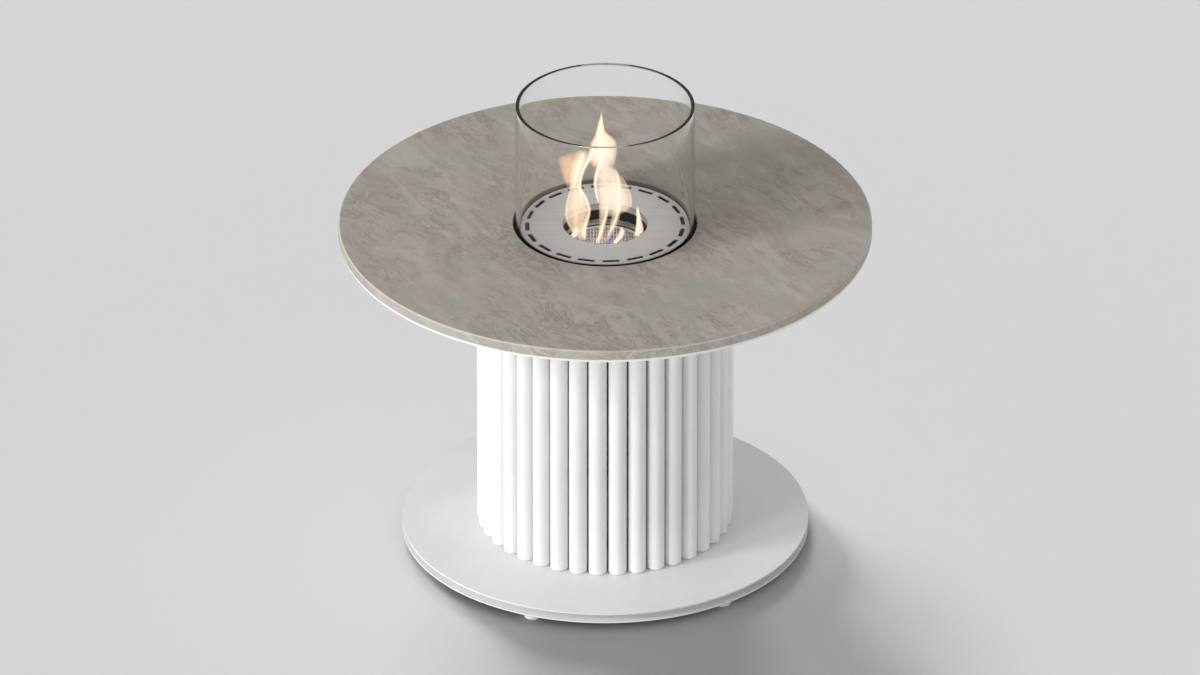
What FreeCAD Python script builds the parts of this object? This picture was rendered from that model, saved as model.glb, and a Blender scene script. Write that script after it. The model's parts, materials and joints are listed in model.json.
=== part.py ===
"""Round gas fire table: stone top on a pedestal of round tubes, standing on a round weighted base.

Millimetres, +Z up. The origin is on the floor, on the axis of the table. Angles called "bearing" are
measured about that axis from the front (-Y) towards +X, so the rear door lies at a bearing near 180.
"""
import FreeCAD, Part
import math
import os

from FreeCAD import Vector

# ---------------------------------------------------------------- clearances shared by all pieces
RUNNING = 0.05          # radial clearance of a shaft or screw thread that turns in its bore
PASSING = 0.2           # radial clearance of a screw or pipe in a plain hole
SEAT = 0.3              # gap between a moving piece and the piece it closes against

# ---------------------------------------------------------------- table top
TABLE_HEIGHT = 659.0    # floor to the upper face of the stone
TOP_DIAMETER = 1000.0
TOP_THICKNESS = 19.0
TOP_ARRIS = 3.5         # rounding of the stone's upper edge
LOW_ARRIS = 1.5         # rounding of its lower edge and of the hole's edge
CARRIER_INSET = 2.0     # the steel sheet under the stone ends this far inside its edge
CARRIER_THICKNESS = 3.0
CARRIER_LIP = 2.0       # lip along the sheet's edge, below its underside

# ---------------------------------------------------------------- base
BASE_DIAMETER = 766.0
BASE_SHEET = 3.0        # upper and lower sheets of the base
BALLAST_THICKNESS = 14.0
BASE_GROOVE = 6.0       # depth of the groove between the two sheets
BAND_WALL = 2.0         # hoop that closes the groove
VENT_DIAMETER = 16.0    # low vents that let leaked gas fall out of the bottle bay
VENT_COUNT = 8

# ---------------------------------------------------------------- levelling feet
FOOT_COUNT = 6
FOOT_BEARING = -22.2    # bearing of the first foot
FOOT_INSET = 26.0       # foot axis to the edge of the base
PAD_DIAMETER = 34.0
PAD_HEIGHT = 9.0
PAD_SOCKET = 6.0        # depth of the socket that holds the stem
STEM_DIAMETER = 10.0
STEM_HEX = 14.0         # spanner flat on the stem, across flats
STEM_HEX_HEIGHT = 3.0
FOOT_SLACK = 0.5        # hexagon to the underside of the base, screwed right in
INSERT_WALL = 3.0       # threaded bush in the lower sheet
INSERT_LIP = 3.0

# ---------------------------------------------------------------- pedestal of tubes
TUBE_COUNT = 38
TUBE_DIAMETER = 34.4
TUBE_GAP = 2.55         # between neighbouring tubes, measured on the pitch circle
TUBE_WALL = 1.5
TUBE_BEARING = -3.55    # bearing of the first tube
CAP_HEIGHT = 5.0        # plug that closes the lower end of a tube
CAP_ROUND = 4.8
CAP_SPIGOT = 5.0
HOOP_WEB = 3.0          # upright part of the angle hoops inside the tubes
HOOP_FLANGE = 4.0
HOOP_WIDTH = 26.0       # flange, from inner edge to tubes
HOOP_HEIGHT = 34.5
TUBE_SCREW_DIAMETER = 4.0
TUBE_SCREW_HEAD = 8.0
TUBE_SCREW_HEAD_HEIGHT = 2.0
FRAME_SCREW_COUNT = 6
BASE_SCREW_DIAMETER = 8.0
BASE_SCREW_HEAD = 16.0
BASE_SCREW_HEAD_HEIGHT = 4.0
TOP_SCREW_DIAMETER = 6.0
TOP_SCREW_HEAD = 11.0
TOP_SCREW_HEAD_HEIGHT = 3.5

# ---------------------------------------------------------------- rear door, made of ten of the tubes
DOOR_FIRST_TUBE = 15
DOOR_TUBES = 10
DOOR_LIFT = 6.0         # door tubes end this far above the base and below the top
RAIL_THICKNESS = 5.0
RAIL_HEIGHT = 24.0
STILE_ANGLE = 7.0
DOOR_SIDE_ANGLE = 3.5   # rails and hoops end this far past the axis of the last tube
PIVOT_DIAMETER = 5.0
PIVOT_EYE = 10.4
PIVOT_OFFSET = 12.8     # pivot axis outside the pitch circle of the tubes
ARM_THICKNESS = 4.0
ARM_WIDTH = 9.6
ARM_CLEARANCE = 1.0
BUSH_WALL = 1.5
BUSH_LIP = 0.8
BUSH_LIP_WIDTH = 1.5
MAGNET_HEIGHT = 23.5
MAGNET_ANGLE = 8.0
STRIKER_THICKNESS = 4.0
STRIKER_ANGLE = 6.0
STRIKER_HEIGHT = 19.0

# ---------------------------------------------------------------- burner housing, glass and plate
HOUSING_SHEET = 2.0
WELL_CLEARANCE = 0.5    # housing flange to the edge of the hole in the stone
BOWL_DIAMETER = 224.0
BOWL_DEPTH = 94.0       # below the housing flange
BOWL_CLEARANCE = 4.0    # bowl to the edge of the sheet that carries it
BOWL_VENT_DIAMETER = 14.0
BOWL_VENT_COUNT = 8
GLASS_TO_PLATE = 2.0    # rim of the plate to the inside of the glass
GLASS_WALL = 7.0
GLASS_TO_WELL = 5.0     # outside of the glass to the hole in the stone
GLASS_ABOVE_TOP = 248.0
GLASS_ROUND = 1.2
GASKET_THICKNESS = 2.0
GASKET_LIP = 1.1
GASKET_LIP_HEIGHT = 6.0
GASKET_FIT = 0.12       # glass to each lip of its gasket
PLATE_DIAMETER = 317.0
PLATE_THICKNESS = 2.0
PLATE_SUNK = 2.5        # plate below the face of the stone
PLATE_EDGE = 0.7
PLATE_OPENING = 158.8
COLLAR_WALL = 1.5
COLLAR_HEIGHT = 13.0
SLOT_COUNT = 20
SLOT_BEARING = 4.3
SLOT_LENGTH = 32.0
SLOT_WIDTH = 8.0
SLOT_CORNER = 2.2
SLOT_INSET = 12.7       # slot centre line to the rim of the plate
REST_INSET = 4.0        # collar of the housing that carries the plate, inside the plate's rim

# ---------------------------------------------------------------- burner
CUP_CLEARANCE = 1.1     # plate collar to the cup
CUP_WALL = 1.5
CUP_BELOW_PLATE = 5.0
CUP_LEG_HEIGHT = 20.0
CUP_LEG_DIAMETER = 10.0
CUP_LEG_COUNT = 3
MESH_DEPTH = 43.0       # upper side of the wire mesh below the plate
MESH_PITCH = 5.4
MESH_WIRE = 1.0
MESH_RIM = 1.0
MESH_RIM_WIDTH = 6.0
MESH_LEDGE = 12.0       # width of the ledge under the mesh
BAND_HEIGHT = 12.0      # bright band above the mesh
BAND_THICKNESS = 3.3
GAS_RING_RADIUS = 48.0
GAS_RING_TUBE = 14.0
GAS_RING_BORE = 11.0
GAS_RING_BELOW_MESH = 21.0
GAS_PORT_DIAMETER = 2.4
GAS_PORT_COUNT = 24
HUB_WALL = 3.0
MIXER_DIAMETER = 30.0
MIXER_WALL = 2.0
MIXER_FLANGE = 7.0
MIXER_HANG = 19.0       # lower end of the mixer tube below the bowl
MIXER_GRIP = 7.0        # mixer tube inside the hub
AIR_WINDOW_HEIGHT = 8.0
AIR_WINDOW_WIDTH = 12.0
JET_HEX = 14.0
JET_BODY = 12.0
JET_NOZZLE_DIAMETER = 8.0
JET_NOZZLE = 10.0
PIPE_DIAMETER = 8.0
PIPE_WALL = 1.0
PIPE_BEND = 12.0
PIPE_SOCKET = 3.0       # how far the pipe goes into the valve

# ---------------------------------------------------------------- spark electrode and flame sensor
SHELF_SHEET = 2.0
SHELF_WIDTH = 28.0
SHELF_DEPTH = 12.0
SHELF_HEIGHT = 14.0
PROBE_SPACING = 14.0
PROBE_COLLAR = 9.0
PROBE_COLLAR_HEIGHT = 3.0
PROBE_BELOW_SHELF = 8.0
ELECTRODE_DIAMETER = 6.0
ELECTRODE_LENGTH = 24.0
SPARK_WIRE_DIAMETER = 2.0
SPARK_WIRE = 5.0
SENSOR_DIAMETER = 5.0
SENSOR_LENGTH = 28.0

# ---------------------------------------------------------------- controls behind the door
PANEL_SHEET = 2.0
PANEL_WIDTH = 140.0
PANEL_SETBACK = 15.0    # front of the panel inside the hoop flange
PANEL_BELOW_VALVE = 12.0
PANEL_FLANGE_WIDTH = 80.0
PANEL_FLANGE_DEPTH = 27.0
PANEL_SCREW_SPACING = 50.0
PANEL_SCREW_DIAMETER = 5.0
PANEL_SCREW_HEAD = 9.0
PANEL_SCREW_HEAD_HEIGHT = 3.0
CONTROL_SPACING = 76.0  # knob axis to igniter axis
VALVE_WIDTH = 40.0
VALVE_DEPTH = 43.0
VALVE_HEIGHT = 36.0
VALVE_BELOW_BOWL = 12.0
SPINDLE_DIAMETER = 8.0
SPINDLE_IN_VALVE = 23.0
PLUNGER_DIAMETER = 10.0
PLUNGER_LENGTH = 10.0
PUSH_TRAVEL = 4.0
KNOB_DIAMETER = 38.0
KNOB_LENGTH = 20.0
KNOB_CLEARANCE = 1.0    # knob, pushed in, to the screw heads on the panel
KNOB_ROUND = 2.5
KNOB_SOCKET = 13.0
KNOB_POINTER = 3.0
INLET_DIAMETER = 13.0
INLET_LENGTH = 22.0
INLET_BORE = 6.0
INLET_COLLAR = 18.0
INLET_COLLAR_HEIGHT = 5.0
IGNITER_DIAMETER = 22.0
IGNITER_LENGTH = 38.0
IGNITER_NECK = 20.0
IGNITER_NECK_LENGTH = 3.0
IGNITER_NUT = 28.0
BUTTON_DIAMETER = 16.0
BUTTON_LENGTH = 13.5
BUTTON_PROUD = 5.0
BUTTON_ROUND = 1.0

# ---------------------------------------------------------------- levels worked out from the sizes above
FOOT_HEIGHT = PAD_HEIGHT + STEM_HEX_HEIGHT + FOOT_SLACK
BALLAST_Z = FOOT_HEIGHT + BASE_SHEET
TOP_SHEET_Z = BALLAST_Z + BALLAST_THICKNESS
BASE_TOP_Z = TOP_SHEET_Z + BASE_SHEET
STONE_Z = TABLE_HEIGHT - TOP_THICKNESS
CARRIER_Z = STONE_Z - CARRIER_THICKNESS
FLANGE_TOP_Z = STONE_Z + HOUSING_SHEET
BOWL_Z = FLANGE_TOP_Z - BOWL_DEPTH
BOWL_FLOOR_Z = BOWL_Z + HOUSING_SHEET
PLATE_TOP_Z = TABLE_HEIGHT - PLATE_SUNK
PLATE_Z = PLATE_TOP_Z - PLATE_THICKNESS
CUP_TOP_Z = PLATE_Z - CUP_BELOW_PLATE
CUP_Z = BOWL_FLOOR_Z + CUP_LEG_HEIGHT
CUP_FLOOR_Z = CUP_Z + CUP_WALL
MESH_TOP_Z = PLATE_TOP_Z - MESH_DEPTH
LEDGE_Z = MESH_TOP_Z - 2 * MESH_WIRE - MESH_RIM
GAS_RING_Z = MESH_TOP_Z - GAS_RING_BELOW_MESH
MIXER_Z = BOWL_Z - MIXER_HANG
JET_Z = MIXER_Z - JET_BODY
PIPE_Z = JET_Z - PIPE_BEND
VALVE_TOP_Z = BOWL_Z - VALVE_BELOW_BOWL
VALVE_Z = VALVE_TOP_Z - VALVE_HEIGHT
CONTROL_Z = VALVE_Z + VALVE_HEIGHT / 2

# ---------------------------------------------------------------- radii worked out from the sizes above
TUBE_R = TUBE_DIAMETER / 2
TUBE_STEP = 360.0 / TUBE_COUNT
PITCH_R = (TUBE_DIAMETER + TUBE_GAP) / (2 * math.sin(math.radians(TUBE_STEP / 2)))
HOOP_R = PITCH_R - TUBE_R - PASSING
HOOP_IN_R = HOOP_R - HOOP_WIDTH
FRAME_SCREW_R = HOOP_IN_R + TUBE_SCREW_HEAD
SILL_R = HOOP_IN_R + BASE_SCREW_HEAD
RAIL_IN_R = HOOP_R - RAIL_THICKNESS
FOOT_RING_R = BASE_DIAMETER / 2 - FOOT_INSET
STEM_R = STEM_DIAMETER / 2
INSERT_R = STEM_R + INSERT_WALL
BALLAST_R = BASE_DIAMETER / 2 - BASE_GROOVE - BAND_WALL
VENT_R = HOOP_IN_R - VENT_DIAMETER
PIVOT_R = PITCH_R + PIVOT_OFFSET
BUSH_R = PIVOT_DIAMETER / 2 + BUSH_WALL
BOWL_R = BOWL_DIAMETER / 2
GLASS_IN_R = PLATE_DIAMETER / 2 + GLASS_TO_PLATE
GLASS_R = GLASS_IN_R + GLASS_WALL
WELL_R = GLASS_R + GLASS_TO_WELL
OPENING_R = PLATE_OPENING / 2
CUP_IN_R = OPENING_R + COLLAR_WALL + CUP_CLEARANCE
REST_R = PLATE_DIAMETER / 2 - REST_INSET
MIXER_R = MIXER_DIAMETER / 2
PANEL_Y = HOOP_IN_R - PANEL_SETBACK
PANEL_BACK_Y = PANEL_Y - PANEL_SHEET
KNOB_X = -CONTROL_SPACING / 2
IGNITER_X = CONTROL_SPACING / 2
KNOB_Y = PANEL_Y + PANEL_SCREW_HEAD_HEIGHT + PUSH_TRAVEL + KNOB_CLEARANCE

# ---------------------------------------------------------------- the door's place among the tubes
DOOR_LAST_TUBE = DOOR_FIRST_TUBE + DOOR_TUBES - 1
DOOR_START = TUBE_BEARING + DOOR_FIRST_TUBE * TUBE_STEP
DOOR_END = TUBE_BEARING + DOOR_LAST_TUBE * TUBE_STEP
PIVOT_BEARING = DOOR_START - TUBE_STEP / 2
GAP_START = DOOR_START - TUBE_STEP + DOOR_SIDE_ANGLE
GAP_END = DOOR_END + TUBE_STEP - DOOR_SIDE_ANGLE
DOOR_Z = BASE_TOP_Z + DOOR_LIFT
DOOR_TOP_Z = CARRIER_Z - DOOR_LIFT
LOW_RAIL_Z = DOOR_Z + ARM_CLEARANCE
HIGH_RAIL_Z = DOOR_TOP_Z - ARM_CLEARANCE - RAIL_HEIGHT

UP = Vector(0, 0, 1)
REARWARD = Vector(0, 1, 0)


# ---------------------------------------------------------------- shapes
def cylinder(radius, low, high, x=0.0, y=0.0):
    """Upright round bar between two levels."""
    return Part.makeCylinder(radius, high - low, Vector(x, y, low))


def rear_cylinder(radius, front, back, x, z):
    """Round bar along +Y between two depths."""
    return Part.makeCylinder(radius, back - front, Vector(x, front, z), REARWARD)


def box(x0, x1, y0, y1, z0, z1):
    return Part.makeBox(x1 - x0, y1 - y0, z1 - z0, Vector(x0, y0, z0))


def turned(*outline):
    """Solid of revolution about the table's axis from (radius, level) corners."""
    corners = [Vector(radius, 0, level) for radius, level in outline]
    face = Part.Face(Part.makePolygon(corners + corners[:1]))
    return face.revolve(Vector(0, 0, 0), UP, 360)


def ring(inner, outer, low, high):
    return turned((inner, low), (outer, low), (outer, high), (inner, high))


def sector(inner, outer, low, high, start, end):
    """Part of a ring between two bearings."""
    corners = [Vector(inner, 0, low), Vector(outer, 0, low), Vector(outer, 0, high), Vector(inner, 0, high)]
    face = Part.Face(Part.makePolygon(corners + corners[:1]))
    solid = face.revolve(Vector(0, 0, 0), UP, end - start)
    solid.rotate(Vector(0, 0, 0), UP, start - 90)
    return solid


def place(radius, bearing, z=0.0):
    angle = math.radians(bearing)
    return Vector(radius * math.sin(angle), -radius * math.cos(angle), z)


def turned_to(shape, bearing):
    """Copy of a shape made at the front, turned to a bearing."""
    copy = shape.copy()
    copy.rotate(Vector(0, 0, 0), UP, bearing)
    return copy


def upright_at(radius, bar_radius, low, high, bearing):
    """Upright round bar at a distance and bearing from the axis."""
    spot = place(radius, bearing)
    return cylinder(bar_radius, low, high, spot.x, spot.y)


def bearings(count, first=0.0):
    return [first + k * 360.0 / count for k in range(count)]


def hexagon(flats, low, high, x=0.0, y=0.0):
    radius = flats / math.sqrt(3)
    turns = [math.radians(60 * k) for k in range(7)]
    corners = [Vector(x + radius * math.cos(turn), y + radius * math.sin(turn), low) for turn in turns]
    return Part.Face(Part.makePolygon(corners)).extrude(Vector(0, 0, high - low))


def circles_at(shape, level, radius):
    """Round edges of a solid at one level and radius."""
    found = []
    for edge in shape.Edges:
        curve = edge.Curve
        if not isinstance(curve, Part.Circle):
            continue
        if abs(curve.Radius - radius) < 0.01 and abs(curve.Center.z - level) < 0.01:
            found.append(edge)
    return found


def joined(first, *others):
    return first.fuse(list(others)).removeSplitter()


def save(name, *solids):
    shape = solids[0] if len(solids) == 1 else Part.makeCompound(list(solids))
    shape.exportStep("parts/" + name + ".step")


# ---------------------------------------------------------------- base
def base_screw_cuts():
    """Countersunk holes in the lower sheet."""
    return [turned_to(Part.makeCone(BASE_SCREW_HEAD / 2 + PASSING, BASE_SCREW_DIAMETER / 2 + PASSING,
                                    BASE_SCREW_HEAD_HEIGHT, Vector(0, -FRAME_SCREW_R, FOOT_HEIGHT)), bearing)
            for bearing in frame_screw_bearings()]


def frame_screw_bearings():
    return bearings(FRAME_SCREW_COUNT, 180.0 / FRAME_SCREW_COUNT)


def foot_bearings():
    return bearings(FOOT_COUNT, FOOT_BEARING)


def vents(low, high):
    return [upright_at(VENT_R, VENT_DIAMETER / 2, low, high, bearing) for bearing in bearings(VENT_COUNT)]


def base_bottom_plate():
    sheet = cylinder(BASE_DIAMETER / 2, FOOT_HEIGHT, BALLAST_Z)
    holes = [upright_at(FOOT_RING_R, INSERT_R + RUNNING, FOOT_HEIGHT, BALLAST_Z, bearing)
             for bearing in foot_bearings()]
    return sheet.cut(holes + base_screw_cuts() + vents(FOOT_HEIGHT, BALLAST_Z))


def base_ballast():
    disc = cylinder(BALLAST_R, BALLAST_Z, TOP_SHEET_Z)
    sockets = [upright_at(FOOT_RING_R, INSERT_R + INSERT_LIP + PASSING, BALLAST_Z, TOP_SHEET_Z, bearing)
               for bearing in foot_bearings()]
    screws = [upright_at(FRAME_SCREW_R, BASE_SCREW_HEAD / 2, BALLAST_Z, TOP_SHEET_Z, bearing)
              for bearing in frame_screw_bearings()]
    return disc.cut(sockets + screws + vents(BALLAST_Z, TOP_SHEET_Z))


def base_side_band():
    return ring(BALLAST_R, BALLAST_R + BAND_WALL, BALLAST_Z, TOP_SHEET_Z)


def base_top_plate():
    sheet = cylinder(BASE_DIAMETER / 2, TOP_SHEET_Z, BASE_TOP_Z)
    screws = [upright_at(FRAME_SCREW_R, BASE_SCREW_DIAMETER / 2 + PASSING, TOP_SHEET_Z, BASE_TOP_Z, bearing)
              for bearing in frame_screw_bearings()]
    pivot = upright_at(PIVOT_R, BUSH_R + RUNNING, TOP_SHEET_Z, BASE_TOP_Z, PIVOT_BEARING)
    return sheet.cut(screws + vents(TOP_SHEET_Z, BASE_TOP_Z) + [pivot])


# ---------------------------------------------------------------- levelling feet
def foot_insert(bearing):
    top = TOP_SHEET_Z - FOOT_SLACK
    spot = place(FOOT_RING_R, bearing)
    body = cylinder(INSERT_R, FOOT_HEIGHT, top, spot.x, spot.y)
    lip = cylinder(INSERT_R + INSERT_LIP, BALLAST_Z, BALLAST_Z + BASE_SHEET, spot.x, spot.y)
    bore = cylinder(STEM_R + RUNNING, FOOT_HEIGHT, top, spot.x, spot.y)
    return joined(body, lip).cut(bore)


def foot_pad(bearing):
    spot = place(FOOT_RING_R, bearing)
    pad = cylinder(PAD_DIAMETER / 2, 0, PAD_HEIGHT, spot.x, spot.y)
    pad = pad.makeFillet(PAD_HEIGHT / 4, circles_at(pad, PAD_HEIGHT, PAD_DIAMETER / 2))
    return pad.cut(cylinder(STEM_R + RUNNING, PAD_HEIGHT - PAD_SOCKET, PAD_HEIGHT, spot.x, spot.y))


def foot_stem(bearing):
    spot = place(FOOT_RING_R, bearing)
    thread = cylinder(STEM_R, PAD_HEIGHT - PAD_SOCKET, TOP_SHEET_Z - 2 * FOOT_SLACK, spot.x, spot.y)
    return joined(thread, hexagon(STEM_HEX, PAD_HEIGHT, PAD_HEIGHT + STEM_HEX_HEIGHT, spot.x, spot.y))


# ---------------------------------------------------------------- pedestal
def tube(low, high, screw_levels):
    """One tube at the front, with the holes for its two screws."""
    wall = Part.makeCylinder(TUBE_R, high - low, Vector(0, -PITCH_R, low))
    wall = wall.cut(Part.makeCylinder(TUBE_R - TUBE_WALL, high - low, Vector(0, -PITCH_R, low)))
    hole_r = TUBE_SCREW_DIAMETER / 2 + RUNNING
    holes = [Part.makeCylinder(hole_r, TUBE_R, Vector(0, -PITCH_R, level), REARWARD) for level in screw_levels]
    return wall.cut(holes)


def end_cap(low):
    """Plug at the front that closes a tube and rounds its lower end."""
    body = Part.makeCylinder(TUBE_R, CAP_HEIGHT, Vector(0, -PITCH_R, low))
    body = body.makeFillet(CAP_ROUND, circles_at(body, low, TUBE_R))
    spigot_r = TUBE_R - TUBE_WALL - RUNNING
    spigot = Part.makeCylinder(spigot_r, CAP_SPIGOT, Vector(0, -PITCH_R, low + CAP_HEIGHT))
    return joined(body, spigot)


def tube_screw(level, wall_r):
    """Screw at the front, its flat head on the curved inside of a hoop or rail, its point in a tube."""
    seat = math.sqrt(wall_r ** 2 - (TUBE_SCREW_HEAD / 2) ** 2)
    head = Part.makeCylinder(TUBE_SCREW_HEAD / 2, TUBE_SCREW_HEAD_HEIGHT, Vector(0, -seat, level), REARWARD)
    reach = PITCH_R - TUBE_R + 2 * TUBE_WALL
    shank = Part.makeCylinder(TUBE_SCREW_DIAMETER / 2, reach - seat, Vector(0, -reach, level), REARWARD)
    return joined(head, shank)


def tube_bearing(index):
    return TUBE_BEARING + index * TUBE_STEP


def fixed_tubes():
    return [k for k in range(TUBE_COUNT) if not DOOR_FIRST_TUBE <= k <= DOOR_LAST_TUBE]


def door_tube_numbers():
    return range(DOOR_FIRST_TUBE, DOOR_LAST_TUBE + 1)


LOW_SCREW_Z = BASE_TOP_Z + (HOOP_HEIGHT + HOOP_FLANGE) / 2
HIGH_SCREW_Z = CARRIER_Z - (HOOP_HEIGHT + HOOP_FLANGE) / 2


def hoop(flange_z, web_z, screw_level, tapped_radius):
    """Angle hoop inside the tubes, cut back where the door is."""
    flange = ring(HOOP_IN_R, HOOP_R, flange_z, flange_z + HOOP_FLANGE)
    web = ring(HOOP_R - HOOP_WEB, HOOP_R, web_z, web_z + HOOP_HEIGHT)
    doorway = sector(SILL_R, HOOP_R + HOOP_WEB, min(flange_z, web_z), max(flange_z + HOOP_FLANGE,
                     web_z + HOOP_HEIGHT), GAP_START, GAP_END)
    hole = Part.makeCylinder(TUBE_SCREW_DIAMETER / 2 + PASSING, 2 * HOOP_WEB,
                             Vector(0, -HOOP_R - HOOP_WEB / 2, screw_level), REARWARD)
    tube_holes = [turned_to(hole, tube_bearing(k)) for k in fixed_tubes()]
    frame_holes = [upright_at(FRAME_SCREW_R, tapped_radius, flange_z, flange_z + HOOP_FLANGE, bearing)
                   for bearing in frame_screw_bearings()]
    return joined(flange, web).cut([doorway] + tube_holes + frame_holes)


def bottom_hoop():
    return hoop(BASE_TOP_Z, BASE_TOP_Z, LOW_SCREW_Z, BASE_SCREW_DIAMETER / 2 + RUNNING)


def top_hoop():
    seat = CARRIER_Z - HOOP_FLANGE
    body = hoop(seat, CARRIER_Z - HOOP_HEIGHT, HIGH_SCREW_Z, TOP_SCREW_DIAMETER / 2 + PASSING)
    holes = [cylinder(PANEL_SCREW_DIAMETER / 2 + RUNNING, seat, CARRIER_Z, x, PANEL_SCREW_Y)
             for x in panel_screw_places()]
    return body.cut(holes)


def base_screw():
    """Countersunk screw at the front, from under the base into the lower hoop."""
    head = Part.makeCone(BASE_SCREW_HEAD / 2, BASE_SCREW_DIAMETER / 2, BASE_SCREW_HEAD_HEIGHT,
                         Vector(0, -FRAME_SCREW_R, FOOT_HEIGHT))
    shank = cylinder(BASE_SCREW_DIAMETER / 2, FOOT_HEIGHT + BASE_SCREW_HEAD_HEIGHT, BASE_TOP_Z + HOOP_FLANGE,
                     0, -FRAME_SCREW_R)
    return joined(head, shank)


def top_screw():
    """Screw at the front, from under the upper hoop into the sheet that carries the stone."""
    seat = CARRIER_Z - HOOP_FLANGE
    head = cylinder(TOP_SCREW_HEAD / 2, seat - TOP_SCREW_HEAD_HEIGHT, seat, 0, -FRAME_SCREW_R)
    shank = cylinder(TOP_SCREW_DIAMETER / 2, seat, STONE_Z - PASSING, 0, -FRAME_SCREW_R)
    return joined(head, shank)


# ---------------------------------------------------------------- door
def door_frame():
    """Two curved rails and two stiles behind the door's tubes."""
    start, end = DOOR_START - DOOR_SIDE_ANGLE, DOOR_END + DOOR_SIDE_ANGLE
    rails = [sector(RAIL_IN_R, HOOP_R, low, low + RAIL_HEIGHT, start, end)
             for low in (LOW_RAIL_Z, HIGH_RAIL_Z)]
    stiles = [sector(RAIL_IN_R, HOOP_R, LOW_RAIL_Z, HIGH_RAIL_Z + RAIL_HEIGHT, at, at + STILE_ANGLE)
              for at in (start, end - STILE_ANGLE)]
    frame = joined(rails[0], rails[1], *stiles)
    hole = Part.makeCylinder(TUBE_SCREW_DIAMETER / 2 + PASSING, 2 * RAIL_THICKNESS,
                             Vector(0, -HOOP_R - RAIL_THICKNESS / 2, 0), REARWARD)
    holes = []
    for level in door_screw_levels():
        lifted = hole.translated(Vector(0, 0, level))
        holes += [turned_to(lifted, tube_bearing(k)) for k in door_tube_numbers()]
    return frame.cut(holes)


def door_screw_levels():
    return LOW_RAIL_Z + RAIL_HEIGHT / 2, HIGH_RAIL_Z + RAIL_HEIGHT / 2


def pivot_arm(low, pin_low, pin_high, block_low, block_high):
    """Flat arm from a rail out to the pivot, with its pin."""
    pivot = place(PIVOT_R, PIVOT_BEARING, low)
    root_bearing = DOOR_START + STILE_ANGLE / 5
    root = place((RAIL_IN_R + HOOP_R) / 2, root_bearing, low)
    along = root - pivot
    across = UP.cross(along).normalize() * (ARM_WIDTH / 2)
    corners = [pivot + across, root + across, root - across, pivot - across]
    bar = Part.Face(Part.makePolygon(corners + corners[:1])).extrude(Vector(0, 0, ARM_THICKNESS))
    eye = cylinder(PIVOT_EYE / 2, low, low + ARM_THICKNESS, pivot.x, pivot.y)
    pin = cylinder(PIVOT_DIAMETER / 2, pin_low, pin_high, pivot.x, pivot.y)
    block = sector(RAIL_IN_R, HOOP_R, block_low, block_high, root_bearing - STILE_ANGLE / 2,
                   root_bearing + STILE_ANGLE / 2)
    return joined(bar, eye, pin, block)


def pivot_arms():
    low_arm = BASE_TOP_Z + ARM_CLEARANCE
    high_arm = CARRIER_Z - ARM_CLEARANCE - ARM_THICKNESS
    lower = pivot_arm(low_arm, TOP_SHEET_Z, low_arm + ARM_THICKNESS, low_arm, LOW_RAIL_Z)
    upper = pivot_arm(high_arm, high_arm, STONE_Z - PASSING,
                      HIGH_RAIL_Z + RAIL_HEIGHT, high_arm + ARM_THICKNESS)
    return lower, upper


def pivot_bush(body_low, body_high, lip_low):
    """Flanged plastic bush that a pivot pin turns in."""
    spot = place(PIVOT_R, PIVOT_BEARING)
    body = cylinder(BUSH_R, body_low, body_high, spot.x, spot.y)
    lip = cylinder(BUSH_R + BUSH_LIP_WIDTH, lip_low, lip_low + BUSH_LIP, spot.x, spot.y)
    return joined(body, lip).cut(cylinder(PIVOT_DIAMETER / 2 + RUNNING, body_low, body_high, spot.x, spot.y))


def catch_magnet():
    """Magnet block on the lower hoop, between the last two tubes of the door."""
    middle = DOOR_END - TUBE_STEP / 2
    seat = BASE_TOP_Z + HOOP_FLANGE
    return sector(HOOP_IN_R + HOOP_FLANGE, RAIL_IN_R - STRIKER_THICKNESS - SEAT, seat, seat + MAGNET_HEIGHT,
                  middle - MAGNET_ANGLE / 2, middle + MAGNET_ANGLE / 2)


def catch_striker():
    """Steel block on the door's lower rail that the magnet holds."""
    middle = DOOR_END - TUBE_STEP / 2
    return sector(RAIL_IN_R - STRIKER_THICKNESS, RAIL_IN_R, LOW_RAIL_Z, LOW_RAIL_Z + STRIKER_HEIGHT,
                  middle - STRIKER_ANGLE / 2, middle + STRIKER_ANGLE / 2)


# ---------------------------------------------------------------- table top
def slab_support_plate():
    """Steel sheet that carries the stone, with a lip along its edge."""
    edge = TOP_DIAMETER / 2 - CARRIER_INSET
    inner = BOWL_R + BOWL_CLEARANCE
    sheet = turned((inner, CARRIER_Z), (edge - CARRIER_THICKNESS, CARRIER_Z),
                   (edge - CARRIER_THICKNESS, CARRIER_Z - CARRIER_LIP), (edge, CARRIER_Z - CARRIER_LIP),
                   (edge, STONE_Z), (inner, STONE_Z))
    screws = [upright_at(FRAME_SCREW_R, TOP_SCREW_DIAMETER / 2 + RUNNING, CARRIER_Z, STONE_Z, bearing)
              for bearing in frame_screw_bearings()]
    pivot = upright_at(PIVOT_R, BUSH_R + RUNNING, CARRIER_Z, STONE_Z, PIVOT_BEARING)
    return sheet.cut(screws + [pivot])


def table_slab():
    stone = ring(WELL_R, TOP_DIAMETER / 2, STONE_Z, TABLE_HEIGHT)
    stone = stone.makeFillet(TOP_ARRIS, circles_at(stone, TABLE_HEIGHT, TOP_DIAMETER / 2))
    return stone.makeFillet(LOW_ARRIS, circles_at(stone, STONE_Z, TOP_DIAMETER / 2)
                            + circles_at(stone, TABLE_HEIGHT, WELL_R))


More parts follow.
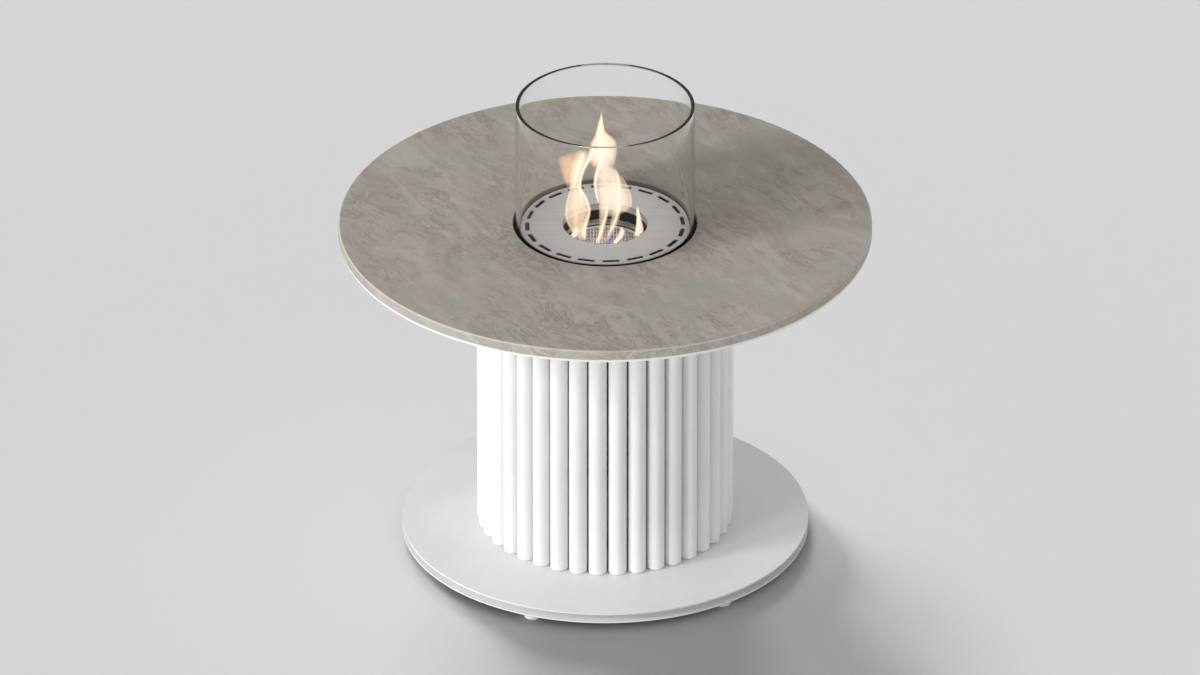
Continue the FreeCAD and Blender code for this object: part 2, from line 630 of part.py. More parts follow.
# ---------------------------------------------------------------- housing, glass and plate
def burner_housing():
    """Black sheet housing: flange on the carrier sheet, collar under the plate, bowl below."""
    flange_r = WELL_R - WELL_CLEARANCE
    rest_in = REST_R - HOUSING_SHEET
    inner = BOWL_R - HOUSING_SHEET
    shell = turned((0, BOWL_Z), (BOWL_R, BOWL_Z), (BOWL_R, STONE_Z), (flange_r, STONE_Z),
                   (flange_r, FLANGE_TOP_Z), (REST_R, FLANGE_TOP_Z), (REST_R, PLATE_Z), (rest_in, PLATE_Z),
                   (rest_in, FLANGE_TOP_Z), (inner, FLANGE_TOP_Z), (inner, BOWL_FLOOR_Z), (0, BOWL_FLOOR_Z))
    mixer_hole = cylinder(MIXER_R + PASSING, BOWL_Z, BOWL_FLOOR_Z)
    vent_r = (BOWL_R + CUP_IN_R + CUP_WALL) / 2
    air_holes = [upright_at(vent_r, BOWL_VENT_DIAMETER / 2, BOWL_Z, BOWL_FLOOR_Z, bearing)
                 for bearing in bearings(BOWL_VENT_COUNT)]
    return shell.cut([mixer_hole] + air_holes)


def glass_gasket():
    """Channel-section seal that the glass stands in."""
    inner_lip = GLASS_IN_R - GASKET_FIT
    outer_lip = GLASS_R + GASKET_FIT
    floor = FLANGE_TOP_Z + GASKET_THICKNESS
    top = floor + GASKET_LIP_HEIGHT
    return turned((inner_lip - GASKET_LIP, FLANGE_TOP_Z), (outer_lip + GASKET_LIP, FLANGE_TOP_Z),
                  (outer_lip + GASKET_LIP, top), (outer_lip, top), (outer_lip, floor), (inner_lip, floor),
                  (inner_lip, top), (inner_lip - GASKET_LIP, top))


def glass_cylinder():
    low, high = FLANGE_TOP_Z + GASKET_THICKNESS, TABLE_HEIGHT + GLASS_ABOVE_TOP
    wall = ring(GLASS_IN_R, GLASS_R, low, high)
    edges = [edge for level in (low, high) for radius in (GLASS_IN_R, GLASS_R)
             for edge in circles_at(wall, level, radius)]
    return wall.makeFillet(GLASS_ROUND, edges)


def slot_cutter():
    """Round-cornered slot at the front of the plate."""
    centre = -(PLATE_DIAMETER / 2 - SLOT_INSET)
    bar = box(-SLOT_LENGTH / 2, SLOT_LENGTH / 2, centre - SLOT_WIDTH / 2, centre + SLOT_WIDTH / 2,
              PLATE_Z - PLATE_THICKNESS, PLATE_TOP_Z + PLATE_THICKNESS)
    upright = [edge for edge in bar.Edges if abs(edge.Vertexes[0].X - edge.Vertexes[1].X) < RUNNING
               and abs(edge.Vertexes[0].Y - edge.Vertexes[1].Y) < RUNNING]
    return bar.makeFillet(SLOT_CORNER, upright)


def burner_plate():
    """Round plate with a ring of slots and a down-turned collar at its opening."""
    collar_z = PLATE_TOP_Z - COLLAR_HEIGHT
    collar_r = OPENING_R + COLLAR_WALL
    plate = turned((OPENING_R, collar_z), (collar_r, collar_z), (collar_r, PLATE_Z),
                   (PLATE_DIAMETER / 2, PLATE_Z), (PLATE_DIAMETER / 2, PLATE_TOP_Z), (OPENING_R, PLATE_TOP_Z))
    rims = circles_at(plate, PLATE_TOP_Z, PLATE_DIAMETER / 2) + circles_at(plate, PLATE_TOP_Z, OPENING_R)
    plate = plate.makeFillet(PLATE_EDGE, rims)
    cutter = slot_cutter()
    return plate.cut([turned_to(cutter, bearing) for bearing in bearings(SLOT_COUNT, SLOT_BEARING)])


# ---------------------------------------------------------------- burner
def burner_cup():
    outer = CUP_IN_R + CUP_WALL
    hole = MIXER_R + PASSING
    return turned((hole, CUP_Z), (outer, CUP_Z), (outer, CUP_TOP_Z), (CUP_IN_R, CUP_TOP_Z),
                  (CUP_IN_R, CUP_FLOOR_Z), (hole, CUP_FLOOR_Z))


def cup_legs():
    radius = CUP_IN_R * 0.75
    return [upright_at(radius, CUP_LEG_DIAMETER / 2, BOWL_FLOOR_Z, CUP_Z, bearing)
            for bearing in bearings(CUP_LEG_COUNT)]


def mesh_carrier():
    """Liner of the cup, with the ledge that the mesh lies on."""
    outer = CUP_IN_R - PASSING
    wall_in = outer - MIXER_WALL
    ledge_in = outer - MESH_LEDGE
    below = LEDGE_Z - MIXER_WALL
    return turned((wall_in, CUP_FLOOR_Z), (outer, CUP_FLOOR_Z), (outer, LEDGE_Z), (ledge_in, LEDGE_Z),
                  (ledge_in, below), (wall_in, below))


def burner_mesh():
    """Rim and two layers of crossing wires."""
    ledge_in = CUP_IN_R - PASSING - MESH_LEDGE
    rim_r = ledge_in + MESH_RIM_WIDTH
    rim = ring(ledge_in, rim_r, LEDGE_Z, LEDGE_Z + MESH_RIM)
    lower, upper = LEDGE_Z + MESH_RIM, LEDGE_Z + MESH_RIM + MESH_WIRE
    half_wire = MESH_WIRE / 2
    reach = rim_r - half_wire
    rows = int(reach / MESH_PITCH)
    wires = []
    for row in range(-rows, rows + 1):
        offset = row * MESH_PITCH
        half = math.sqrt(reach ** 2 - (abs(offset) + half_wire) ** 2) if abs(offset) + half_wire < reach else 0
        if half > MESH_PITCH:
            wires.append(box(-half, half, offset - half_wire, offset + half_wire, lower, upper))
            wires.append(box(offset - half_wire, offset + half_wire, -half, half, upper, upper + MESH_WIRE))
    return [rim] + wires


def burner_band():
    """Bright band that stands on the ledge round the mesh."""
    outer = CUP_IN_R - PASSING
    band = ring(outer - BAND_THICKNESS, outer, LEDGE_Z, LEDGE_Z + BAND_HEIGHT)
    return band.makeFillet(PLATE_EDGE, circles_at(band, LEDGE_Z + BAND_HEIGHT, outer - BAND_THICKNESS))


def gas_ring():
    """Hollow ring with ports on top, two hollow spokes and the hub that sits on the mixer tube."""
    level = Vector(0, 0, GAS_RING_Z)
    tube_r, bore_r = GAS_RING_TUBE / 2, GAS_RING_BORE / 2
    hub_in = MIXER_R + RUNNING
    hub_low = GAS_RING_Z - tube_r - HUB_WALL
    hub_high = GAS_RING_Z + tube_r + HUB_WALL
    start = Vector(-GAS_RING_RADIUS, 0, GAS_RING_Z)
    spoke_axis = Vector(1, 0, 0)
    skin = joined(Part.makeTorus(GAS_RING_RADIUS, tube_r, level),
                  Part.makeCylinder(tube_r - RUNNING, 2 * GAS_RING_RADIUS, start, spoke_axis),
                  cylinder(hub_in + HUB_WALL, hub_low, hub_high))
    hollow = Part.makeTorus(GAS_RING_RADIUS, bore_r, level).fuse(
        [Part.makeCylinder(bore_r - 2 * RUNNING, 2 * GAS_RING_RADIUS, start, spoke_axis),
         cylinder(hub_in, hub_low, hub_low + MIXER_GRIP),
         cylinder(hub_in - HUB_WALL, hub_low, hub_high - HUB_WALL)])
    ports = [upright_at(GAS_RING_RADIUS, GAS_PORT_DIAMETER / 2, GAS_RING_Z, hub_high, bearing)
             for bearing in bearings(GAS_PORT_COUNT, 180.0 / GAS_PORT_COUNT)]
    return skin.cut(hollow).cut(ports)


def mixer_top():
    return GAS_RING_Z - GAS_RING_TUBE / 2 - HUB_WALL + MIXER_GRIP


def mixer_tube():
    """Tube that carries gas and air up into the ring, closed below round the jet, with two air windows."""
    inner = MIXER_R - MIXER_WALL
    hole = JET_NOZZLE_DIAMETER / 2 + RUNNING
    flange = MIXER_R + MIXER_FLANGE
    flange_top = BOWL_FLOOR_Z + HOUSING_SHEET
    body = turned((hole, MIXER_Z), (MIXER_R, MIXER_Z), (MIXER_R, BOWL_FLOOR_Z), (flange, BOWL_FLOOR_Z),
                  (flange, flange_top), (MIXER_R, flange_top), (MIXER_R, mixer_top()), (inner, mixer_top()),
                  (inner, MIXER_Z + MIXER_WALL), (hole, MIXER_Z + MIXER_WALL))
    window_low = MIXER_Z + 3 * MIXER_WALL
    window = box(-MIXER_R, MIXER_R, -AIR_WINDOW_WIDTH / 2, AIR_WINDOW_WIDTH / 2,
                 window_low, window_low + AIR_WINDOW_HEIGHT)
    return body.cut(window)


def gas_jet():
    nozzle = cylinder(JET_NOZZLE_DIAMETER / 2, MIXER_Z, MIXER_Z + JET_NOZZLE)
    bore = cylinder(PIPE_DIAMETER / 2 - PIPE_WALL, JET_Z, MIXER_Z)
    orifice = cylinder(PIPE_WALL, JET_Z, MIXER_Z + JET_NOZZLE)
    return joined(hexagon(JET_HEX, JET_Z, MIXER_Z), nozzle).cut([bore, orifice])


def pipe_start():
    """Start of the pipe, a little inside the valve, and its direction towards the table's axis."""
    outlet = Vector(KNOB_X, PANEL_BACK_Y - VALVE_DEPTH, PIPE_Z)
    inward = (Vector(0, 0, PIPE_Z) - outlet).normalize()
    return outlet - inward * PIPE_SOCKET, inward


def gas_pipe():
    """Pipe from the back of the valve to the underside of the jet."""
    outlet, inward = pipe_start()
    centre = Vector(0, 0, PIPE_Z)
    bend_start = centre - inward * PIPE_BEND
    bend_end = centre + UP * PIPE_BEND
    middle = centre - inward * PIPE_BEND * (1 - math.sqrt(0.5)) + UP * PIPE_BEND * (1 - math.sqrt(0.5))
    path = Part.Wire([Part.LineSegment(outlet, bend_start).toShape(),
                      Part.Arc(bend_start, middle, bend_end).toShape()])

    def swept(radius):
        profile = Part.Wire([Part.Circle(outlet, inward, radius).toShape()])
        return path.makePipeShell([profile], True, False)

    return swept(PIPE_DIAMETER / 2).cut(swept(PIPE_DIAMETER / 2 - PIPE_WALL))


# ---------------------------------------------------------------- spark electrode and flame sensor
SHELF_Z = CUP_FLOOR_Z + SHELF_HEIGHT
SHELF_OUT_Y = -(CUP_IN_R - PASSING - MESH_LEDGE)
PROBE_Y = SHELF_OUT_Y + SHELF_DEPTH / 2


def pilot_bracket():
    """Bent sheet on the floor of the cup with a shelf for the two probes."""
    inner_y = SHELF_OUT_Y + SHELF_DEPTH
    half = SHELF_WIDTH / 2
    shelf = box(-half, half, SHELF_OUT_Y, inner_y, SHELF_Z - SHELF_SHEET, SHELF_Z)
    upright = box(-half, half, inner_y - SHELF_SHEET, inner_y, CUP_FLOOR_Z, SHELF_Z)
    foot = box(-half, half, inner_y - SHELF_SHEET, inner_y + SHELF_DEPTH, CUP_FLOOR_Z, CUP_FLOOR_Z + SHELF_SHEET)
    under, apart = SHELF_Z - SHELF_SHEET, PROBE_SPACING / 2
    holes = [cylinder(ELECTRODE_DIAMETER / 2 + RUNNING, under, SHELF_Z, -apart, PROBE_Y),
             cylinder(SENSOR_DIAMETER / 2 + RUNNING, under, SHELF_Z, apart, PROBE_Y)]
    return joined(shelf, upright, foot).cut(holes)


def probe(x, radius, length):
    """Round probe through the shelf, held by a collar."""
    low = SHELF_Z - PROBE_BELOW_SHELF
    rod = cylinder(radius, low, low + length, x, PROBE_Y)
    return joined(rod, cylinder(PROBE_COLLAR / 2, SHELF_Z, SHELF_Z + PROBE_COLLAR_HEIGHT, x, PROBE_Y))


def ignition_electrode():
    x = -PROBE_SPACING / 2
    tip = SHELF_Z - PROBE_BELOW_SHELF + ELECTRODE_LENGTH
    ceramic = probe(x, ELECTRODE_DIAMETER / 2, ELECTRODE_LENGTH)
    return joined(ceramic, cylinder(SPARK_WIRE_DIAMETER / 2, tip, tip + SPARK_WIRE, x, PROBE_Y))


def thermocouple():
    return probe(PROBE_SPACING / 2, SENSOR_DIAMETER / 2, SENSOR_LENGTH)


# ---------------------------------------------------------------- controls
PANEL_SCREW_Y = PANEL_Y + PANEL_FLANGE_DEPTH * 0.8
VALVE_SCREW_Z = (VALVE_Z + PANEL_SCREW_HEAD, VALVE_TOP_Z - PANEL_SCREW_HEAD)
VALVE_SCREW_X = KNOB_X - VALVE_WIDTH / 2 + PANEL_SCREW_HEAD / 2
BUTTON_Y = PANEL_Y + IGNITER_NECK_LENGTH + BUTTON_PROUD - BUTTON_LENGTH


def panel_screw_places():
    return -PANEL_SCREW_SPACING / 2, PANEL_SCREW_SPACING / 2


def control_panel():
    """Sheet hung from the upper hoop, with holes for the knob's spindle, the igniter and the screws."""
    half, flange_half = PANEL_WIDTH / 2, PANEL_FLANGE_WIDTH / 2
    top = CARRIER_Z - HOOP_FLANGE
    sheet = box(-half, half, PANEL_BACK_Y, PANEL_Y, VALVE_Z - PANEL_BELOW_VALVE, top)
    flange = box(-flange_half, flange_half, PANEL_BACK_Y, PANEL_Y + PANEL_FLANGE_DEPTH, top - PANEL_SHEET, top)
    through = PANEL_BACK_Y - PANEL_SHEET, PANEL_Y + PANEL_SHEET
    holes = [rear_cylinder(SPINDLE_DIAMETER / 2 + 2 * RUNNING + PASSING, *through, KNOB_X, CONTROL_Z),
             rear_cylinder(IGNITER_NECK / 2 + PASSING, *through, IGNITER_X, CONTROL_Z)]
    holes += [rear_cylinder(PANEL_SCREW_DIAMETER / 2 + PASSING, *through, VALVE_SCREW_X, z) for z in VALVE_SCREW_Z]
    holes += [cylinder(PANEL_SCREW_DIAMETER / 2 + PASSING, top - PANEL_SHEET, top, x, PANEL_SCREW_Y)
              for x in panel_screw_places()]
    return joined(sheet, flange).cut(holes)


def panel_screws():
    """Two screws up into the hoop and two through the panel into the valve."""
    seat = CARRIER_Z - HOOP_FLANGE - PANEL_SHEET
    radius, head = PANEL_SCREW_DIAMETER / 2, PANEL_SCREW_HEAD / 2
    screws = [joined(cylinder(head, seat - PANEL_SCREW_HEAD_HEIGHT, seat, x, PANEL_SCREW_Y),
                     cylinder(radius, seat, CARRIER_Z - PASSING, x, PANEL_SCREW_Y)) for x in panel_screw_places()]
    reach = PANEL_BACK_Y - 2 * PANEL_SCREW_DIAMETER
    screws += [joined(rear_cylinder(head, PANEL_Y, PANEL_Y + PANEL_SCREW_HEAD_HEIGHT, VALVE_SCREW_X, z),
                      rear_cylinder(radius, reach, PANEL_Y, VALVE_SCREW_X, z)) for z in VALVE_SCREW_Z]
    return screws


def gas_valve():
    half = VALVE_WIDTH / 2
    front = PANEL_BACK_Y - VALVE_DEPTH
    plunger_end = PANEL_BACK_Y - SPINDLE_IN_VALVE
    chamber_end = plunger_end - PLUNGER_LENGTH - PUSH_TRAVEL - SEAT
    body = box(KNOB_X - half, KNOB_X + half, front, PANEL_BACK_Y, VALVE_Z, VALVE_TOP_Z)
    cuts = [rear_cylinder(SPINDLE_DIAMETER / 2 + RUNNING, plunger_end, PANEL_BACK_Y, KNOB_X, CONTROL_Z),
            rear_cylinder(PLUNGER_DIAMETER / 2 + RUNNING, chamber_end, plunger_end + SEAT, KNOB_X, CONTROL_Z)]
    cuts += [rear_cylinder(PANEL_SCREW_DIAMETER / 2 + RUNNING, PANEL_BACK_Y - 2 * PANEL_SCREW_DIAMETER - SEAT,
                           PANEL_BACK_Y, VALVE_SCREW_X, z) for z in VALVE_SCREW_Z]
    socket, inward = pipe_start()
    cuts.append(Part.makeCylinder(PIPE_DIAMETER / 2 + RUNNING, 2 * PIPE_SOCKET + PIPE_DIAMETER, socket, inward))
    return body.cut(cuts)


def gas_inlet():
    """Threaded tail under the valve that a hose nut screws onto."""
    y = PANEL_BACK_Y - VALVE_DEPTH / 2
    collar = hexagon(INLET_COLLAR, VALVE_Z - INLET_COLLAR_HEIGHT, VALVE_Z, KNOB_X, y)
    tail_z = VALVE_Z - INLET_COLLAR_HEIGHT - INLET_LENGTH
    tail = cylinder(INLET_DIAMETER / 2, tail_z, VALVE_Z - INLET_COLLAR_HEIGHT, KNOB_X, y)
    bore = cylinder(INLET_BORE / 2, tail_z, VALVE_Z, KNOB_X, y)
    return joined(collar, tail).cut(bore)


def valve_plunger():
    end = PANEL_BACK_Y - SPINDLE_IN_VALVE
    return rear_cylinder(PLUNGER_DIAMETER / 2, end - PLUNGER_LENGTH, end, KNOB_X, CONTROL_Z)


def valve_spindle():
    return rear_cylinder(SPINDLE_DIAMETER / 2, PANEL_BACK_Y - SPINDLE_IN_VALVE,
                         KNOB_Y + KNOB_SOCKET, KNOB_X, CONTROL_Z)


def control_knob():
    """Round knob with a raised pointer across its face."""
    low, high = KNOB_Y, KNOB_Y + KNOB_LENGTH
    grip = rear_cylinder(KNOB_DIAMETER / 2, low, high - KNOB_POINTER, KNOB_X, CONTROL_Z)
    rim = [edge for edge in grip.Edges if isinstance(edge.Curve, Part.Circle)
           and abs(edge.Curve.Center.y - high + KNOB_POINTER) < RUNNING]
    grip = grip.makeFillet(KNOB_ROUND, rim)
    half = KNOB_POINTER / 2
    reach = KNOB_DIAMETER / 2 - KNOB_ROUND
    pointer = box(KNOB_X - half, KNOB_X + half, high - 2 * KNOB_POINTER, high, CONTROL_Z - reach, CONTROL_Z + reach)
    socket = rear_cylinder(SPINDLE_DIAMETER / 2 + RUNNING, low, low + KNOB_SOCKET, KNOB_X, CONTROL_Z)
    return joined(grip, pointer).cut(socket)


def igniter_body():
    barrel = rear_cylinder(IGNITER_DIAMETER / 2, PANEL_BACK_Y - IGNITER_LENGTH, PANEL_BACK_Y, IGNITER_X, CONTROL_Z)
    neck_end = PANEL_Y + IGNITER_NECK_LENGTH
    neck = rear_cylinder(IGNITER_NECK / 2, PANEL_BACK_Y, neck_end, IGNITER_X, CONTROL_Z)
    bore = rear_cylinder(BUTTON_DIAMETER / 2 + 2 * RUNNING, BUTTON_Y - PUSH_TRAVEL - SEAT, neck_end,
                         IGNITER_X, CONTROL_Z)
    return joined(barrel, neck).cut(bore)


def igniter_nut():
    y = PANEL_Y
    outer = rear_cylinder(IGNITER_NUT / 2, y, y + IGNITER_NECK_LENGTH, IGNITER_X, CONTROL_Z)
    bore = rear_cylinder(IGNITER_NECK / 2 + RUNNING, y, y + IGNITER_NECK_LENGTH, IGNITER_X, CONTROL_Z)
    return outer.cut(bore)


def igniter_button():
    button = rear_cylinder(BUTTON_DIAMETER / 2, BUTTON_Y, BUTTON_Y + BUTTON_LENGTH, IGNITER_X, CONTROL_Z)
    rim = [edge for edge in button.Edges if isinstance(edge.Curve, Part.Circle)
           and abs(edge.Curve.Center.y - BUTTON_Y - BUTTON_LENGTH) < RUNNING]
    return button.makeFillet(BUTTON_ROUND, rim)


# ---------------------------------------------------------------- all the pieces
def build():
    os.makedirs("parts", exist_ok=True)

    save("table_slab", table_slab())
    save("slab_support_plate", slab_support_plate())
    save("base_top_plate", base_top_plate())
    save("base_ballast", base_ballast())
    save("base_side_band", base_side_band())
    save("base_bottom_plate", base_bottom_plate())
    save("foot_inserts", *[foot_insert(bearing) for bearing in foot_bearings()])
    for number, bearing in enumerate(foot_bearings(), 1):
        save("foot_pad_%d" % number, foot_pad(bearing))
        save("foot_stem_%d" % number, foot_stem(bearing))

    fixed_tube = tube(BASE_TOP_Z + CAP_HEIGHT, CARRIER_Z, (LOW_SCREW_Z, HIGH_SCREW_Z))
    fixed_cap = end_cap(BASE_TOP_Z)
    hoop_screws = [tube_screw(level, HOOP_R - HOOP_WEB) for level in (LOW_SCREW_Z, HIGH_SCREW_Z)]
    save("pedestal_tubes", *[turned_to(fixed_tube, tube_bearing(k)) for k in fixed_tubes()])
    save("pedestal_end_caps", *[turned_to(fixed_cap, tube_bearing(k)) for k in fixed_tubes()])
    save("tube_screws", *[turned_to(screw, tube_bearing(k)) for screw in hoop_screws for k in fixed_tubes()])
    save("bottom_hoop", bottom_hoop())
    save("top_hoop", top_hoop())
    save("frame_screws", *[turned_to(screw, bearing) for screw in (base_screw(), top_screw())
                           for bearing in frame_screw_bearings()])

    door_tube = tube(DOOR_Z + CAP_HEIGHT, DOOR_TOP_Z, door_screw_levels())
    door_cap = end_cap(DOOR_Z)
    rail_screws = [tube_screw(level, RAIL_IN_R) for level in door_screw_levels()]
    save("door_tubes", *[turned_to(door_tube, tube_bearing(k)) for k in door_tube_numbers()])
    save("door_end_caps", *[turned_to(door_cap, tube_bearing(k)) for k in door_tube_numbers()])
    save("door_screws", *[turned_to(screw, tube_bearing(k)) for screw in rail_screws for k in door_tube_numbers()])
    save("door_frame", door_frame())
    save("door_pivot_arms", *pivot_arms())
    save("pivot_bushes", pivot_bush(TOP_SHEET_Z, BASE_TOP_Z + BUSH_LIP, BASE_TOP_Z),
         pivot_bush(CARRIER_Z - BUSH_LIP, STONE_Z, CARRIER_Z - BUSH_LIP))
    save("catch_magnet", catch_magnet())
    save("catch_striker", catch_striker())

    save("burner_housing", burner_housing())
    save("glass_gasket", glass_gasket())
    save("glass_cylinder", glass_cylinder())
    save("burner_plate", burner_plate())
    save("burner_cup", burner_cup())
    save("cup_legs", *cup_legs())
    save("mesh_carrier", mesh_carrier())
    save("burner_mesh", *burner_mesh())
    save("burner_band", burner_band())
    save("gas_ring", gas_ring())
    save("mixer_tube", mixer_tube())
    save("gas_jet", gas_jet())
    save("gas_pipe", gas_pipe())
    save("pilot_bracket", pilot_bracket())
    save("ignition_electrode", ignition_electrode())
    save("thermocouple", thermocouple())

    save("control_panel", control_panel())
    save("panel_screws", *panel_screws())
    save("gas_valve", gas_valve())
    save("gas_inlet", gas_inlet())
    save("valve_plunger", valve_plunger())
    save("valve_spindle", valve_spindle())
    save("control_knob", control_knob())
    save("igniter_body", igniter_body())
    save("igniter_nut", igniter_nut())
    save("igniter_button", igniter_button())


build()
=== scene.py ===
"""Finishes, burner mesh, flames and studio for the round gas fire table. Metres, +Z up."""
import json
import math

import bmesh
import bpy
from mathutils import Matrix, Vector


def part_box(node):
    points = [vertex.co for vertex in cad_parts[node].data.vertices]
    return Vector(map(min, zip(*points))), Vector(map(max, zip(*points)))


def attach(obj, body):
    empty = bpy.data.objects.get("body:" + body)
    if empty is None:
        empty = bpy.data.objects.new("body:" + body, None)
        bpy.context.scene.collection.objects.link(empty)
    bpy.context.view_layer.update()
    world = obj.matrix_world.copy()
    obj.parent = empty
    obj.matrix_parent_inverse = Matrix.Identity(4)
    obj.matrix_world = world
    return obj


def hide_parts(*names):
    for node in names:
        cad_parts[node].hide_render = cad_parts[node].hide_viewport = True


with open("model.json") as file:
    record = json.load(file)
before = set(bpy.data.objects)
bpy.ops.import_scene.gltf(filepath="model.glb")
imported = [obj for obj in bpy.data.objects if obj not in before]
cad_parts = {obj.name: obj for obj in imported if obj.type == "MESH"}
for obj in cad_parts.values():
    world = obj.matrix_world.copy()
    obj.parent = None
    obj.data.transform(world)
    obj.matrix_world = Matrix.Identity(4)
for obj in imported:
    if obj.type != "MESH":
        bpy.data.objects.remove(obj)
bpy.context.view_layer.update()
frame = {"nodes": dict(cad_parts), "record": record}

MM = 0.001

# ---------------------------------------------------------------- levels read from the frame
STONE_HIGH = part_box("table_slab")[1]
PLATE_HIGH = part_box("burner_plate")[1]
MESH_LOW, MESH_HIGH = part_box("burner_mesh")
MESH_RADIUS = MESH_HIGH.x

# ---------------------------------------------------------------- burner mesh
MESH_PITCH = 5.4 * MM
WIRE_RADIUS = 0.5 * MM
WEAVE_SWING = WIRE_RADIUS * 0.9  # how far a wire rises over the ones it crosses, and dips under them
RIM_WIDTH = 6.0 * MM
RIM_THICKNESS = 0.7 * MM
RIM_ROUNDING = 0.2 * MM
RIM_STEPS = 96
MERGE_DISTANCE = 0.01 * MM

# ---------------------------------------------------------------- view
CAMERA_ELEVATION = 29.0        # degrees
CAMERA_DISTANCE = 43.8
CAMERA_LENS = 700.0            # millimetres, as the sensor is
CAMERA_SENSOR = 36.0
CAMERA_REACH = (1.0, 400.0)    # nearest and furthest that it sees
CAMERA_AIM = Vector((-0.0096, 0.0, 0.4114))

# ---------------------------------------------------------------- studio
FLOOR_HALF = 60.0
FLOOR_TONE = 0.487
HORIZON_LEVEL = 1.03
SKY_LEVEL = 0.35
SKY_FADE = (0.1, 0.8)  # rise, as a sine, over which the horizon's light turns into the sky's
# Far lamps: bearing from the front, height, level, softness, in degrees but for the level.
TABLE_LAMPS = [(-45.0, 12.0, 0.392, 14.0), (-65.0, 30.0, 0.418, 14.0)]
FLOOR_LAMPS = [(-152.3, 5.5, 3.78, 13.6), (-158.6, 47.5, 0.414, 20.6), (-173.2, 25.2, 0.439, 13.4)]
# Lamps over the burner: height, radius, power, colour. The flames' own light starts inside the plate's
# opening.
BURNER_LAMPS = {"burner_lamp": (3.0, 0.65, 23.2, (1.0, 1.0, 1.0)),
                "flame_light": (PLATE_HIGH.z - 1.0 * MM, 0.05, 0.13, (1.0, 0.88, 0.76))}
# What they shine on, besides the wire cloth and its rim.
BURNER_LIT = ["burner_plate", "burner_band", "mesh_carrier", "burner_mesh"]


# ---------------------------------------------------------------- finishes
GRAIN_TURN = -54.5      # the stone's drifts run from back left to front right
STONE_ARRIS = 3.5 * MM  # rounding of the stone's upper edge


def tone(red, green, blue):
    """Linear colour from a printed colour of 0 to 255."""
    def linear(value):
        share = value / 255.0
        return share / 12.92 if share <= 0.04045 else ((share + 0.055) / 1.055) ** 2.4
    return (linear(red), linear(green), linear(blue), 1.0)


